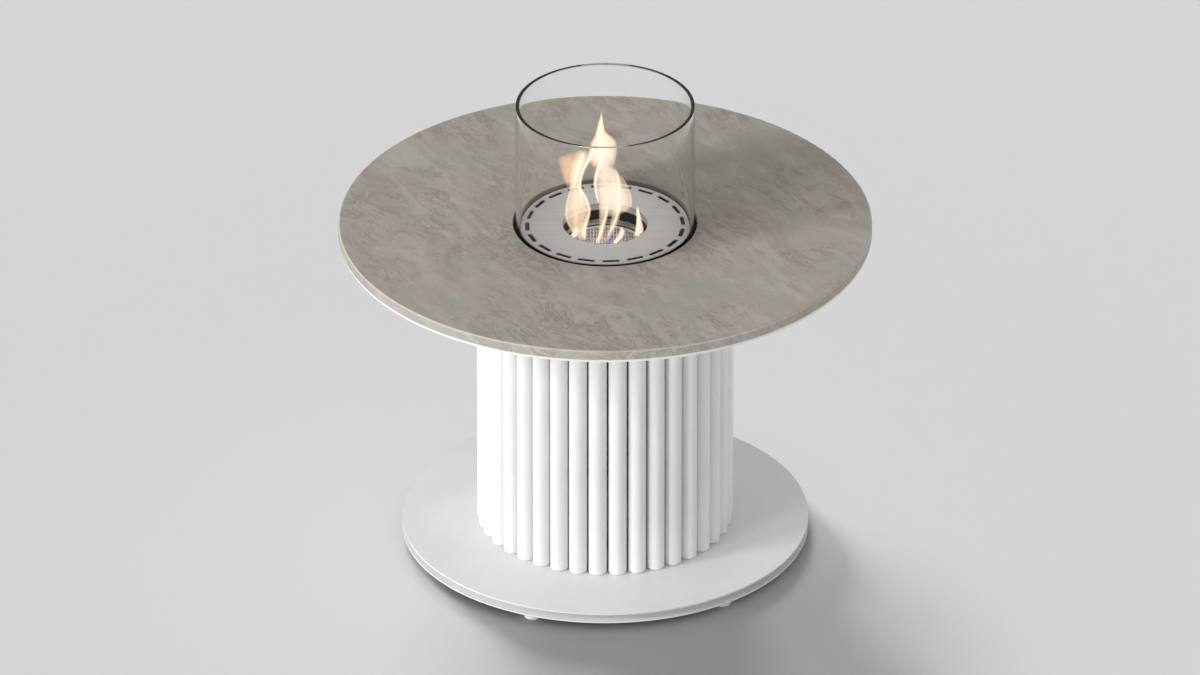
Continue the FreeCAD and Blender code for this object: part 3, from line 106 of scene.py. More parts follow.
class Finish:
    """One material: a shader and the patterns that feed it, laid out in the object's own place."""

    def __init__(self, name, colour, **settings):
        self.material = bpy.data.materials.new(name)
        self.material.use_nodes = True
        self.tree = self.material.node_tree
        self.tree.nodes.clear()
        self.shader = self.tree.nodes.new("ShaderNodeBsdfPrincipled")
        out = self.tree.nodes.new("ShaderNodeOutputMaterial")
        self.join(self.shader.outputs["BSDF"], out.inputs["Surface"])
        self.place = self.tree.nodes.new("ShaderNodeTexCoord").outputs["Object"]
        self.settle("Base Color", colour)
        for socket, value in settings.items():
            self.settle(socket.replace("_", " "), value)

    def settle(self, socket, value):
        """A colour, number or pattern for one socket of the shader."""
        target = self.shader.inputs[socket]
        if isinstance(value, bpy.types.NodeSocket):
            self.join(value, target)
        else:
            target.default_value = value

    def join(self, source, target):
        """A link from one node's output to another's socket."""
        self.tree.links.new(source, target)

    def laid(self, size=(1.0, 1.0, 1.0), turn=0.0, shift=(0.0, 0.0, 0.0), place=None):
        """The place measured in a pattern's own sizes, in metres, along axes turned about the upright."""
        node = self.tree.nodes.new("ShaderNodeMapping")
        node.vector_type = "TEXTURE"
        node.inputs["Location"].default_value = shift
        node.inputs["Rotation"].default_value = (0.0, 0.0, math.radians(turn))
        node.inputs["Scale"].default_value = size
        self.join(place or self.place, node.inputs["Vector"])
        return node.outputs["Vector"]

    def share(self, source, start, end):
        """How far a value has come from start to end, from 0 to 1."""
        node = self.tree.nodes.new("ShaderNodeMapRange")
        node.inputs["From Min"].default_value = start
        node.inputs["From Max"].default_value = end
        self.join(source, node.inputs["Value"])
        return node.outputs[0]

    def ring(self, inner, outer, strength):
        """Band round the upright axis, strongest halfway between two radii."""
        flat = self.tree.nodes.new("ShaderNodeVectorMath")
        flat.operation = "MULTIPLY"
        flat.inputs[1].default_value = (1.0, 1.0, 0.0)
        self.join(self.place, flat.inputs[0])
        length = self.tree.nodes.new("ShaderNodeVectorMath")
        length.operation = "LENGTH"
        self.join(flat.outputs["Vector"], length.inputs[0])
        across = self.share(length.outputs["Value"], inner, outer)
        return self.ramp(across, (0.05, 0.0), (0.35, strength), (0.65, strength), (0.95, 0.0))

    def noise(self, scale, detail=2.0, rough=0.5, warp=0.0, place=None, colour=False):
        """Cloudy pattern; a scale of 1 has clouds about one unit of the place wide."""
        node = self.tree.nodes.new("ShaderNodeTexNoise")
        node.inputs["Scale"].default_value = scale
        node.inputs["Detail"].default_value = detail
        node.inputs["Roughness"].default_value = rough
        node.inputs["Distortion"].default_value = warp
        self.join(place or self.place, node.inputs["Vector"])
        return node.outputs["Color" if colour else "Fac"]

    def cells(self, scale):
        """Distance from the middle of each of many small cells."""
        node = self.tree.nodes.new("ShaderNodeTexVoronoi")
        node.inputs["Scale"].default_value = scale
        self.join(self.place, node.inputs["Vector"])
        return node.outputs["Distance"]

    def ramp(self, source, *stops):
        """Colours or grey levels at given points of a pattern."""
        node = self.tree.nodes.new("ShaderNodeValToRGB")
        marks = node.color_ramp.elements
        while len(marks) < len(stops):
            marks.new(0.5)
        for mark, (at, value) in zip(marks, sorted(stops, key=lambda stop: stop[0])):
            mark.position = at
            mark.color = value if isinstance(value, tuple) else (value, value, value, 1.0)
        self.join(source, node.inputs["Fac"])
        return node.outputs["Color"]

    def blend(self, share, first, second, way="MIX"):
        """Two colours or patterns, mixed by a number or a pattern."""
        node = self.tree.nodes.new("ShaderNodeMix")
        node.data_type = "RGBA"
        node.blend_type = way
        for socket, value in ((node.inputs[0], share), (node.inputs[6], first), (node.inputs[7], second)):
            if isinstance(value, bpy.types.NodeSocket):
                self.join(value, socket)
            else:
                socket.default_value = value
        return node.outputs[2]

    def sum(self, first, second, way="ADD", clamp=False):
        """Two numbers or patterns, added unless another way is named."""
        node = self.tree.nodes.new("ShaderNodeMath")
        node.operation = way
        node.use_clamp = clamp
        for socket, value in zip(node.inputs, (first, second)):
            if isinstance(value, bpy.types.NodeSocket):
                self.join(value, socket)
            else:
                socket.default_value = value
        return node.outputs[0]

    def height(self, source, strength, depth):
        """Fine relief of the surface, its depth in metres."""
        node = self.tree.nodes.new("ShaderNodeBump")
        node.inputs["Strength"].default_value = strength
        node.inputs["Distance"].default_value = depth
        self.join(source, node.inputs["Height"])
        self.settle("Normal", node.outputs["Normal"])


def honed_stone(name):
    """Grey-beige quartzite: ragged drifts of grey, brown and a little green that run across the slab.

    A painted highlight lies along the slab's rounded upper edge: a pale line where that edge catches the
    light.
    """
    drift_size = (0.27, 0.115, 0.115)
    vein_size = (0.115, 0.040, 0.040)
    streak_size = (0.15, 0.062, 0.062)
    green_cast = tone(165, 167, 156)
    brown_vein = tone(136, 119, 103)
    pale_streak = tone(196, 191, 184)
    painted_highlight_tone = tone(228, 222, 212)
    finish = Finish(name, (0.36, 0.335, 0.305, 1.0), Specular_IOR_Level=0.30)
    bend = finish.noise(3.0, detail=3.0, rough=0.55, colour=True)
    bent = finish.blend(0.055, finish.place, bend, "LINEAR_LIGHT")
    drift = finish.noise(1.0, detail=10.0, rough=0.66, warp=0.6,
                         place=finish.laid(size=drift_size, turn=GRAIN_TURN, place=bent))
    ground = finish.ramp(drift, (0.30, tone(155, 145, 136)), (0.42, tone(168, 160, 150)),
                         (0.50, tone(176, 169, 160)), (0.60, tone(168, 161, 151)),
                         (0.72, tone(184, 178, 170)))
    patch = finish.noise(6.5, detail=5.0, rough=0.62, warp=0.8, place=finish.laid(shift=(3.1, 1.7, 0.4)))
    greened = finish.blend(finish.ramp(patch, (0.46, 0.0), (0.61, 0.60)), ground, green_cast)
    vein = finish.noise(1.0, detail=12.0, rough=0.74, warp=1.0,
                        place=finish.laid(size=vein_size, turn=GRAIN_TURN, shift=(0.3, 0.9, 0.2),
                                          place=bent))
    ragged = finish.ramp(vein, (0.445, 0.0), (0.475, 0.75), (0.49, 0.35), (0.53, 0.0))
    area = finish.noise(5.5, detail=3.0, rough=0.6, place=finish.laid(shift=(0.0, 4.0, 1.0)))
    where = finish.ramp(area, (0.42, 0.10), (0.58, 1.0))
    veined = finish.blend(finish.sum(ragged, where, "MULTIPLY"), greened, brown_vein)
    pale = finish.noise(1.0, detail=10.0, rough=0.70, warp=0.9,
                        place=finish.laid(size=streak_size, turn=GRAIN_TURN - 3.0, shift=(7.3, 2.2, 0.0),
                                          place=bent))
    streaked = finish.blend(finish.ramp(pale, (0.51, 0.0), (0.61, 0.40)), veined, pale_streak)
    grain = finish.noise(420.0, detail=3.0, rough=0.7)
    speckled = finish.blend(0.10, streaked, finish.ramp(grain, (0.3, 0.12), (0.7, 0.75)), "OVERLAY")
    # Painted highlight: a pale band on the rounded upper edge, standing in for the light that the edge
    # catches.
    painted_highlight_band = finish.ring(STONE_HIGH.x - STONE_ARRIS, STONE_HIGH.x, 0.48)
    finish.settle("Base Color", finish.blend(painted_highlight_band, speckled, painted_highlight_tone))
    finish.settle("Roughness", finish.ramp(finish.noise(60.0, detail=5.0), (0.3, 0.48), (0.7, 0.62)))
    finish.height(finish.sum(vein, finish.noise(700.0, detail=2.0)), 0.25, 0.15 * MM)
    return finish


def powder_coat(name, colour, rough, depth=0.05 * MM):
    """Baked powder paint with its slight orange peel."""
    finish = Finish(name, colour)
    cloud = finish.noise(9.0, detail=4.0)
    darker = tuple(0.955 * part for part in colour[:3]) + (1.0,)
    finish.settle("Base Color", finish.blend(finish.ramp(cloud, (0.35, 0.0), (0.65, 1.0)), darker, colour))
    uneven = finish.noise(55.0, detail=4.0)
    finish.settle("Roughness", finish.ramp(uneven, (0.3, rough - 0.05), (0.7, rough + 0.06)))
    finish.height(finish.noise(620.0, detail=2.0, rough=0.45), 0.35, depth)
    return finish


def brushed_plate(name):
    """Stainless sheet brushed in one direction, from left to right."""
    scratch_size = (0.11, 0.0011, 0.0011)
    sweep_size = (0.40, 0.0066, 0.0066)
    finish = Finish(name, tone(214, 210, 207), Metallic=0.5, Anisotropic=0.35)
    lines = finish.noise(1.0, detail=5.0, rough=0.62, place=finish.laid(size=scratch_size))
    broad = finish.noise(1.0, detail=4.0, rough=0.6, place=finish.laid(size=sweep_size))
    both = finish.blend(0.45, lines, broad)
    finish.settle("Base Color", finish.ramp(both, (0.30, tone(204, 200, 197)), (0.50, tone(214, 210, 207)),
                                            (0.70, tone(222, 219, 216))))
    finish.settle("Roughness", finish.ramp(both, (0.30, 0.56), (0.70, 0.44)))
    finish.height(lines, 0.30, 0.03 * MM)
    return finish


def heated_wire(name):
    """Steel that the flame has darkened, with patches of straw and blue heat colour."""
    finish = Finish(name, tone(208, 206, 204), Metallic=0.5)
    heat = finish.noise(38.0, detail=4.0, rough=0.6)
    finish.settle("Base Color", finish.ramp(heat, (0.30, tone(176, 173, 173)), (0.45, tone(208, 206, 203)),
                                            (0.56, tone(222, 218, 212)), (0.68, tone(190, 192, 204))))
    finish.settle("Roughness", finish.ramp(heat, (0.3, 0.5), (0.7, 0.3)))
    finish.height(finish.noise(1500.0, detail=2.0), 0.2, 0.05 * MM)
    return finish


def turned_metal(name, colour, rough, tarnish):
    """Machined or drawn metal with faint tarnish and fine tool marks."""
    mark_size = (0.0033, 0.0033, 0.00045)
    finish = Finish(name, colour, Metallic=1.0)
    cloud = finish.noise(85.0, detail=5.0, rough=0.6)
    finish.settle("Base Color", finish.blend(finish.ramp(cloud, (0.42, 0.0), (0.75, 0.8)), colour, tarnish))
    finish.settle("Roughness", finish.ramp(cloud, (0.3, rough - 0.06), (0.7, rough + 0.12)))
    marks = finish.noise(1.0, detail=3.0, place=finish.laid(size=mark_size))
    finish.height(marks, 0.3, 0.02 * MM)
    return finish


def cast_metal(name):
    """Die-cast alloy with a sandy skin."""
    finish = Finish(name, tone(176, 176, 174), Metallic=1.0)
    grain = finish.noise(900.0, detail=4.0, rough=0.7)
    finish.settle("Base Color", finish.ramp(grain, (0.3, tone(150, 150, 149)), (0.7, tone(190, 190, 188))))
    finish.settle("Roughness", finish.ramp(grain, (0.3, 0.5), (0.7, 0.68)))
    finish.height(grain, 0.5, 0.12 * MM)
    return finish


def moulded_plastic(name, colour, rough):
    """Moulded plastic with a fine spark-eroded texture."""
    finish = Finish(name, colour)
    pits = finish.noise(1400.0, detail=3.0, rough=0.6)
    paler = tuple(min(1.0, part * 1.12 + 0.004) for part in colour[:3]) + (1.0,)
    cloud = finish.noise(30.0, detail=3.0)
    finish.settle("Base Color", finish.blend(finish.ramp(cloud, (0.3, 0.0), (0.7, 1.0)), colour, paler))
    finish.settle("Roughness", finish.ramp(pits, (0.3, rough - 0.06), (0.7, rough + 0.08)))
    finish.height(pits, 0.35, 0.04 * MM)
    return finish


def cast_concrete(name):
    """Fine concrete with small air holes, their hollows darkened with painted shade."""
    finish = Finish(name, tone(140, 138, 134))
    cloud = finish.noise(14.0, detail=6.0, rough=0.65)
    sand = finish.noise(700.0, detail=3.0, rough=0.7)
    base = finish.ramp(cloud, (0.3, tone(122, 120, 116)), (0.7, tone(156, 154, 149)))
    air_holes_and_painted_shade = finish.ramp(finish.cells(260.0), (0.06, 1.0), (0.12, 0.0))
    sanded = finish.blend(0.25, base, sand, "OVERLAY")
    # Painted shade: the holes are coloured dark for the shade inside them, and their depth is also real bump
    # relief.
    finish.settle("Base Color", finish.blend(air_holes_and_painted_shade, sanded, tone(84, 82, 79)))
    finish.settle("Roughness", finish.ramp(sand, (0.3, 0.8), (0.7, 0.95)))
    finish.height(finish.sum(sand, air_holes_and_painted_shade, "SUBTRACT"), 0.5, 0.3 * MM)
    return finish


def clear_glass(name):
    """Clear drawn glass, not quite flat. Its low IOR keeps the near and far sides of the rim pale."""
    finish = Finish(name, (1.0, 1.0, 1.0, 1.0), Transmission_Weight=1.0, IOR=1.31, Roughness=0.0,
                    Specular_IOR_Level=0.20)
    finish.height(finish.noise(16.0, detail=1.0), 0.01, 0.2 * MM)
    return finish


def glazed_ceramic(name):
    """Off-white insulator with a thin glaze."""
    finish = Finish(name, tone(226, 222, 212))
    cloud = finish.noise(120.0, detail=4.0)
    finish.settle("Base Color", finish.ramp(cloud, (0.35, tone(214, 208, 195)), (0.65, tone(232, 229, 221))))
    finish.settle("Roughness", finish.ramp(cloud, (0.3, 0.22), (0.7, 0.4)))
    finish.height(finish.noise(800.0), 0.15, 0.03 * MM)
    return finish


def soft_seal(name):
    """Black heat-proof silicone, slightly dusty."""
    finish = Finish(name, tone(30, 30, 31))
    dust = finish.noise(70.0, detail=5.0, rough=0.65)
    finish.settle("Base Color", finish.ramp(dust, (0.45, tone(24, 24, 25)), (0.75, tone(52, 51, 49))))
    finish.settle("Roughness", finish.ramp(dust, (0.3, 0.55), (0.7, 0.8)))
    finish.height(finish.noise(900.0), 0.2, 0.05 * MM)
    return finish


FINISHES = {
    "stone_top": honed_stone,
    "white_coat": lambda name: powder_coat(name, (0.80, 0.80, 0.795, 1.0), 0.42),
    "groove_coat": lambda name: powder_coat(name, (0.50, 0.50, 0.50, 1.0), 0.45),
    "black_coat": lambda name: powder_coat(name, tone(14, 14, 15), 0.60, 0.08 * MM),
    "concrete": cast_concrete,
    "clear_glass": clear_glass,
    "plate_steel": brushed_plate,
    "mesh_steel": heated_wire,
    "bright_steel": lambda name: turned_metal(name, tone(205, 204, 202), 0.22, tone(176, 170, 160)),
    "zinc_steel": lambda name: turned_metal(name, tone(196, 198, 200), 0.34, tone(168, 164, 150)),
    "brass": lambda name: turned_metal(name, tone(206, 172, 102), 0.30, tone(150, 116, 62)),
    "copper_pipe": lambda name: turned_metal(name, tone(214, 146, 112), 0.30, tone(132, 82, 60)),
    "cast_alloy": cast_metal,
    "white_plastic": lambda name: moulded_plastic(name, (0.78, 0.78, 0.775, 1.0), 0.40),
    "black_plastic": lambda name: moulded_plastic(name, tone(34, 34, 35), 0.42),
    "red_plastic": lambda name: moulded_plastic(name, tone(176, 34, 28), 0.35),
    "silicone": soft_seal,
    "ceramic": glazed_ceramic,
}


def dress_cad_pieces():
    """Gives every CAD piece the finish of its slot."""
    made = {slot: finish(slot + "_finish").material for slot, finish in FINISHES.items()}
    for part in frame["record"]["subparts"]:
        for place in frame["nodes"][part["node"]].material_slots:
            place.material = made[part["material_slot"]]
    return made


# ---------------------------------------------------------------- burner mesh
def woven_wires(finish):
    """Plain-weave wire cloth, each wire passing over and under the ones it crosses."""
    curve = bpy.data.curves.new("woven_mesh", "CURVE")
    curve.dimensions = "3D"
    curve.bevel_depth = WIRE_RADIUS
    curve.bevel_resolution = 1
    curve.resolution_u = 3
    middle = MESH_HIGH.z - 2 * WIRE_RADIUS
    reach = MESH_RADIUS - RIM_WIDTH / 2
    rows = int(reach / MESH_PITCH)
    for row in range(-rows, rows + 1):
        offset = row * MESH_PITCH
        half = math.sqrt(reach ** 2 - offset ** 2)
        count = int(half / MESH_PITCH)
        steps = list(range(-count, count + 1))
        for along_x in (True, False):
            wire = curve.splines.new("NURBS")
            wire.points.add(len(steps) - 1)
            for point, step in zip(wire.points, steps):
                side = 1 if (row + step) % 2 == (0 if along_x else 1) else -1
                at = step * MESH_PITCH
                level = middle + side * WEAVE_SWING
                point.co = (at, offset, level, 1.0) if along_x else (offset, at, level, 1.0)
            wire.order_u = 3
            wire.use_endpoint_u = True
    curve.materials.append(finish)
    cloth = bpy.data.objects.new("woven_mesh", curve)
    bpy.context.scene.collection.objects.link(cloth)
    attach(cloth, "table")
    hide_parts("burner_mesh")
    return cloth


def spun(name, outline, steps, finish):
    """Closed ring, spun round the table's axis from the corners of its section."""
    work = bmesh.new()
    corners = [work.verts.new((radius, 0.0, level)) for radius, level in outline]
    section = work.faces.new(corners)
    bmesh.ops.bevel(work, geom=list(section.verts), offset=RIM_ROUNDING, offset_type="OFFSET", segments=2,
                    profile=0.5, affect="VERTICES", material=-1)
    bmesh.ops.spin(work, geom=list(work.edges), cent=(0, 0, 0), axis=(0, 0, 1), angle=2 * math.pi,
                   steps=steps, use_merge=True)
    sections = [face for face in work.faces if len(face.verts) > 4]
    bmesh.ops.delete(work, geom=sections, context="FACES_ONLY")
    bmesh.ops.remove_doubles(work, verts=list(work.verts), dist=MERGE_DISTANCE)
    bmesh.ops.recalc_face_normals(work, faces=list(work.faces))
    return piece(name, work, finish)


def piece(name, work, finish):
    """Object made of a finished bmesh, with smooth faces and one finish."""
    mesh = bpy.data.meshes.new(name)
    work.to_mesh(mesh)
    work.free()
    for face in mesh.polygons:
        face.use_smooth = True
    mesh.materials.append(finish)
    made = bpy.data.objects.new(name, mesh)
    bpy.context.scene.collection.objects.link(made)
    return made


def mesh_rim(finish):
    """Flat hoop that grips the edge of the wire cloth."""
    inner, low = MESH_RADIUS - RIM_WIDTH, MESH_LOW.z
    rim = spun("mesh_rim", [(inner, low), (MESH_RADIUS, low), (MESH_RADIUS, low + RIM_THICKNESS),
                            (inner, low + RIM_THICKNESS)], RIM_STEPS, finish)
    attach(rim, "table")
    return rim


# ---------------------------------------------------------------- flames
FLAME_FOOT = MESH_HIGH.z
FLAME_TIP = 0.90      # level at which the tip's colour is reached
FLAME_SIDES = 10      # corners of a flame's section before it is smoothed
FLAME_SMOOTHING = 2
WISP_SIZE = (0.013, 0.013, 0.12)
CLEAR_LAYERS = 96     # see-through faces that one line of sight may pass
# Widths of the nested shells of a flame, and of a bright fold, as shares of the outermost.
VEIL_SHELLS = (1.0, 0.94, 0.86, 0.76, 0.64, 0.48)
FOLD_SHELLS = (1.0, 0.75, 0.50, 0.28)


def flame_glow(name, stations, colours, strength, seen, foot_share):
    """Glowing gas: thin at the foot and the tip, with faint upright wisps.

    The colour follows the height above the mesh, and the fade follows the flame's own height.
    """
    low, high = stations[0][2] * MM, stations[-1][2] * MM
    finish = Finish(name, (0.0, 0.0, 0.0, 1.0), Roughness=1.0, Specular_IOR_Level=0.0,
                    Emission_Strength=strength)
    split = finish.tree.nodes.new("ShaderNodeSeparateXYZ")
    finish.join(finish.place, split.inputs[0])
    rise = finish.share(split.outputs["Z"], FLAME_FOOT, FLAME_TIP)
    own_rise = finish.share(split.outputs["Z"], low, high)
    foot, middle, tip = colours
    hue = finish.ramp(rise, (0.0, foot), (0.22, middle), (0.7, middle), (1.0, tip))
    finish.settle("Emission Color", hue)
    wisps = finish.noise(1.0, detail=3.0, rough=0.5, warp=0.4, place=finish.laid(size=WISP_SIZE))
    fade = finish.ramp(own_rise, (0.0, 0.0), (foot_share, 1.0), (0.84, 1.0), (1.0, 0.15))
    veil = finish.sum(fade, finish.ramp(wisps, (0.36, 0.72), (0.62, 1.0)), "MULTIPLY")
    finish.settle("Alpha", finish.sum(veil, seen, "MULTIPLY", clamp=True))
    finish.material.cycles.emission_sampling = "NONE"
    return finish.material


def flame_shell(work, stations, share):
    """One closed shell of a flame: an oval ring drawn up through the stations and closed at both ends.

    A station is (x, y, level, half width, half depth); share shrinks the widths for an inner shell.
    """
    ring = bmesh.ops.create_circle(work, cap_ends=True, cap_tris=False, segments=FLAME_SIDES,
                                   radius=1.0)["verts"]
    x, y, level, wide, deep = stations[0]
    bmesh.ops.scale(work, verts=ring, vec=(wide * share, deep * share, 1.0))
    bmesh.ops.translate(work, verts=ring, vec=(x, y, level))
    edges = [edge for edge in work.edges if edge.verts[0] in ring and edge.verts[1] in ring]
    for old, new in zip(stations, stations[1:]):
        drawn = bmesh.ops.extrude_edge_only(work, edges=edges)["geom"]
        ring = [item for item in drawn if isinstance(item, bmesh.types.BMVert)]
        edges = [item for item in drawn if isinstance(item, bmesh.types.BMEdge)]
        bmesh.ops.translate(work, verts=ring, vec=(-old[0], -old[1], -old[2]))
        bmesh.ops.scale(work, verts=ring, vec=(new[3] / old[3], new[4] / old[4], 1.0))
        bmesh.ops.translate(work, verts=ring, vec=new[:3])
    bmesh.ops.contextual_create(work, geom=edges)


def flame(name, stations, shares, look):
    """Nested shells of one flame: the outer half has the skin's glow, the inner half the heart's."""
    work = bmesh.new()
    metres = [tuple(value * MM for value in station) for station in stations]
    for share in shares:
        flame_shell(work, metres, share)
    bmesh.ops.recalc_face_normals(work, faces=list(work.faces))
    skin, heart, *glow = look
    per_shell = len(work.faces) // len(shares)
    for number, face in enumerate(work.faces):
        face.material_index = 0 if number < per_shell * (len(shares) // 2) else 1
    made = piece(name, work, flame_glow(name + "_skin", stations, skin, *glow))
    made.data.materials.append(flame_glow(name + "_heart", stations, heart, *glow))
    smooth = made.modifiers.new("smooth", "SUBSURF")
    smooth.levels = smooth.render_levels = FLAME_SMOOTHING
    made.visible_diffuse = False
    made.visible_glossy = False
    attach(made, "table")


# Stations of each flame in millimetres: x, y, level, half width, half depth.
FLAMES = {
    "flame_tall": [
        (-2.6, 2, 770, 4.6, 6.4), (-2.1, 2, 774, 18.5, 14.4), (-4.4, 2, 782, 24.3, 20.8),
        (-5.8, 2, 795, 28, 22.4), (-4.4, 1, 812, 28.9, 22.4), (-2.1, 1, 825, 26.6, 22.4),
        (-3.5, 0, 836, 20.5, 19.2), (-7.8, 0, 845, 11.6, 14.4), (-8.6, 0, 856, 7.9, 11.2),
        (-8, 0, 871, 4.8, 8), (-7.1, 0, 882, 2.5, 4.8), (-6.4, 0, 895, 0.6, 1.3)],
    "flame_right": [
        (-4.4, -4, 673, 4.6, 6.4), (13.8, -4, 683, 25.7, 12.8), (17.9, -4, 691, 31.5, 17.6),
        (19, -4, 701, 33.8, 20.8), (17.1, -4, 713, 34.5, 22.4), (13.5, -4, 726, 34.1, 22.4),
        (9.6, -4, 739, 31.9, 20.8), (6.3, -4, 752, 28.3, 19.2), (3.9, -4, 764, 24.1, 16),
        (2, -4, 772, 19.9, 12.8), (-1.2, -4, 780, 13.6, 9.6), (-0.2, -4, 785, 7.1, 3.2)],
    "flame_leg_left": [
        (-13.6, -3, 613, 4, 4.8), (-11.6, -3, 623, 5.5, 6.4), (-7.8, -3, 636, 5.8, 6.4),
        (-5, -4, 653, 6.9, 8), (-3.5, -4, 670, 9, 9.6), (-2.5, -4, 685, 10.3, 9.6),
        (-2.4, -4, 698, 9, 8), (-2.1, -4, 706, 5.2, 3.2)],
    "flame_leg_right": [
        (2.8, -2, 618, 2.6, 3.2), (5.2, -2, 628, 4.3, 4.8), (10.4, -3, 641, 6.6, 6.4),
        (16, -3, 656, 7.9, 8), (19.6, -4, 672, 9, 9.6), (21.9, -4, 686, 9.5, 9.6),
        (22.8, -4, 698, 7.5, 8), (23.1, -4, 706, 3.2, 3.2)],
    "flame_left": [
        (-41, 5, 615, 6.6, 4.8), (-43.8, 5, 624, 10.3, 8), (-47, 5, 635, 12.6, 11.2),
        (-50.7, 6, 646, 15.2, 14.4), (-52.2, 6, 658, 21.8, 17.6), (-51.4, 6, 671, 25.4, 19.2),
        (-50.6, 6, 684, 25.4, 20.8), (-50.6, 6, 697, 23.4, 19.2), (-51.9, 6, 711, 19.5, 17.6),
        (-53.8, 6, 722, 14.7, 14.4), (-55.8, 6, 732, 11.6, 11.2), (-55.5, 6, 744, 10.7, 11.2),
        (-54.2, 6, 758, 11.1, 11.2), (-50.9, 6, 773, 13, 12.8), (-45.8, 6, 787, 16.6, 12.8),
        (-42.8, 5, 797, 17, 12.8), (-41.3, 5, 804, 14.4, 9.6), (-43.1, 5, 810, 5.8, 3.2)],
    "flame_sheet": [
        (-57.5, 8, 723, 8.1, 3.2), (-58.4, 8, 729, 11.8, 6.4), (-61.3, 8, 741, 15.9, 8),
        (-62.4, 8, 754, 19.3, 8), (-61.6, 8, 767, 23.7, 9.6), (-60, 8, 779, 27.9, 9.6),
        (-57.9, 8, 787, 31.6, 9.6), (-56.9, 8, 794, 32.9, 8), (-51.2, 8, 799, 27.7, 6.4),
        (-43.4, 8, 804, 18.2, 4.8), (-39.6, 8, 808, 10.4, 2.4)],
    "flame_flag": [
        (-62.7, 10, 723, 4.6, 3.2), (-63.3, 10, 729, 9.2, 6.4), (-65, 10, 741, 13.3, 8),
        (-67.6, 10, 756, 15.6, 8), (-69.8, 10, 771, 16.9, 8), (-71.7, 10, 783, 17.6, 8),
        (-73.1, 10, 790, 17.3, 6.4), (-74.5, 10, 794, 14.1, 2.4)],
    "flame_side": [
        (56.6, 4, 625, 2, 2.4), (60.5, 4, 631, 6.8, 6.4), (64.9, 4, 639, 9.5, 9.6),
        (64.1, 4, 651, 7.2, 8), (63.3, 4, 664, 5.1, 6.4), (61.5, 4, 677, 4, 4.8),
        (60.9, 4, 686, 2.6, 3.2), (60.7, 4, 693, 0.7, 1.1)],
    "flame_low": [
        (17, -4, 614, 2.9, 3.2), (21.5, -4, 622, 5.3, 6.4), (28.1, -4, 630, 6.8, 8),
        (31.4, -4, 639, 5.8, 8), (31.9, -4, 645, 4.5, 6.4), (30.7, -4, 649, 2.5, 3.2),
        (30.1, -4, 652, 0.7, 1.1)],
    "flame_foot": [
        (-59.8, 8, 620, 4, 3.2), (-57.8, 8, 629, 7.2, 6.4), (-55.5, 8, 635, 6.6, 6.4),
        (-53.9, 8, 641, 3.9, 3.2), (-53.6, 8, 645, 1, 1.1)],
    "flame_root": [
        (6, -1, 611, 7.5, 4.8), (6.9, -1, 620, 7.8, 8), (8.6, -1, 630, 6.1, 8),
        (10.4, -1, 640, 3.8, 6.4), (11.5, -1, 648, 2, 2.4)],
}

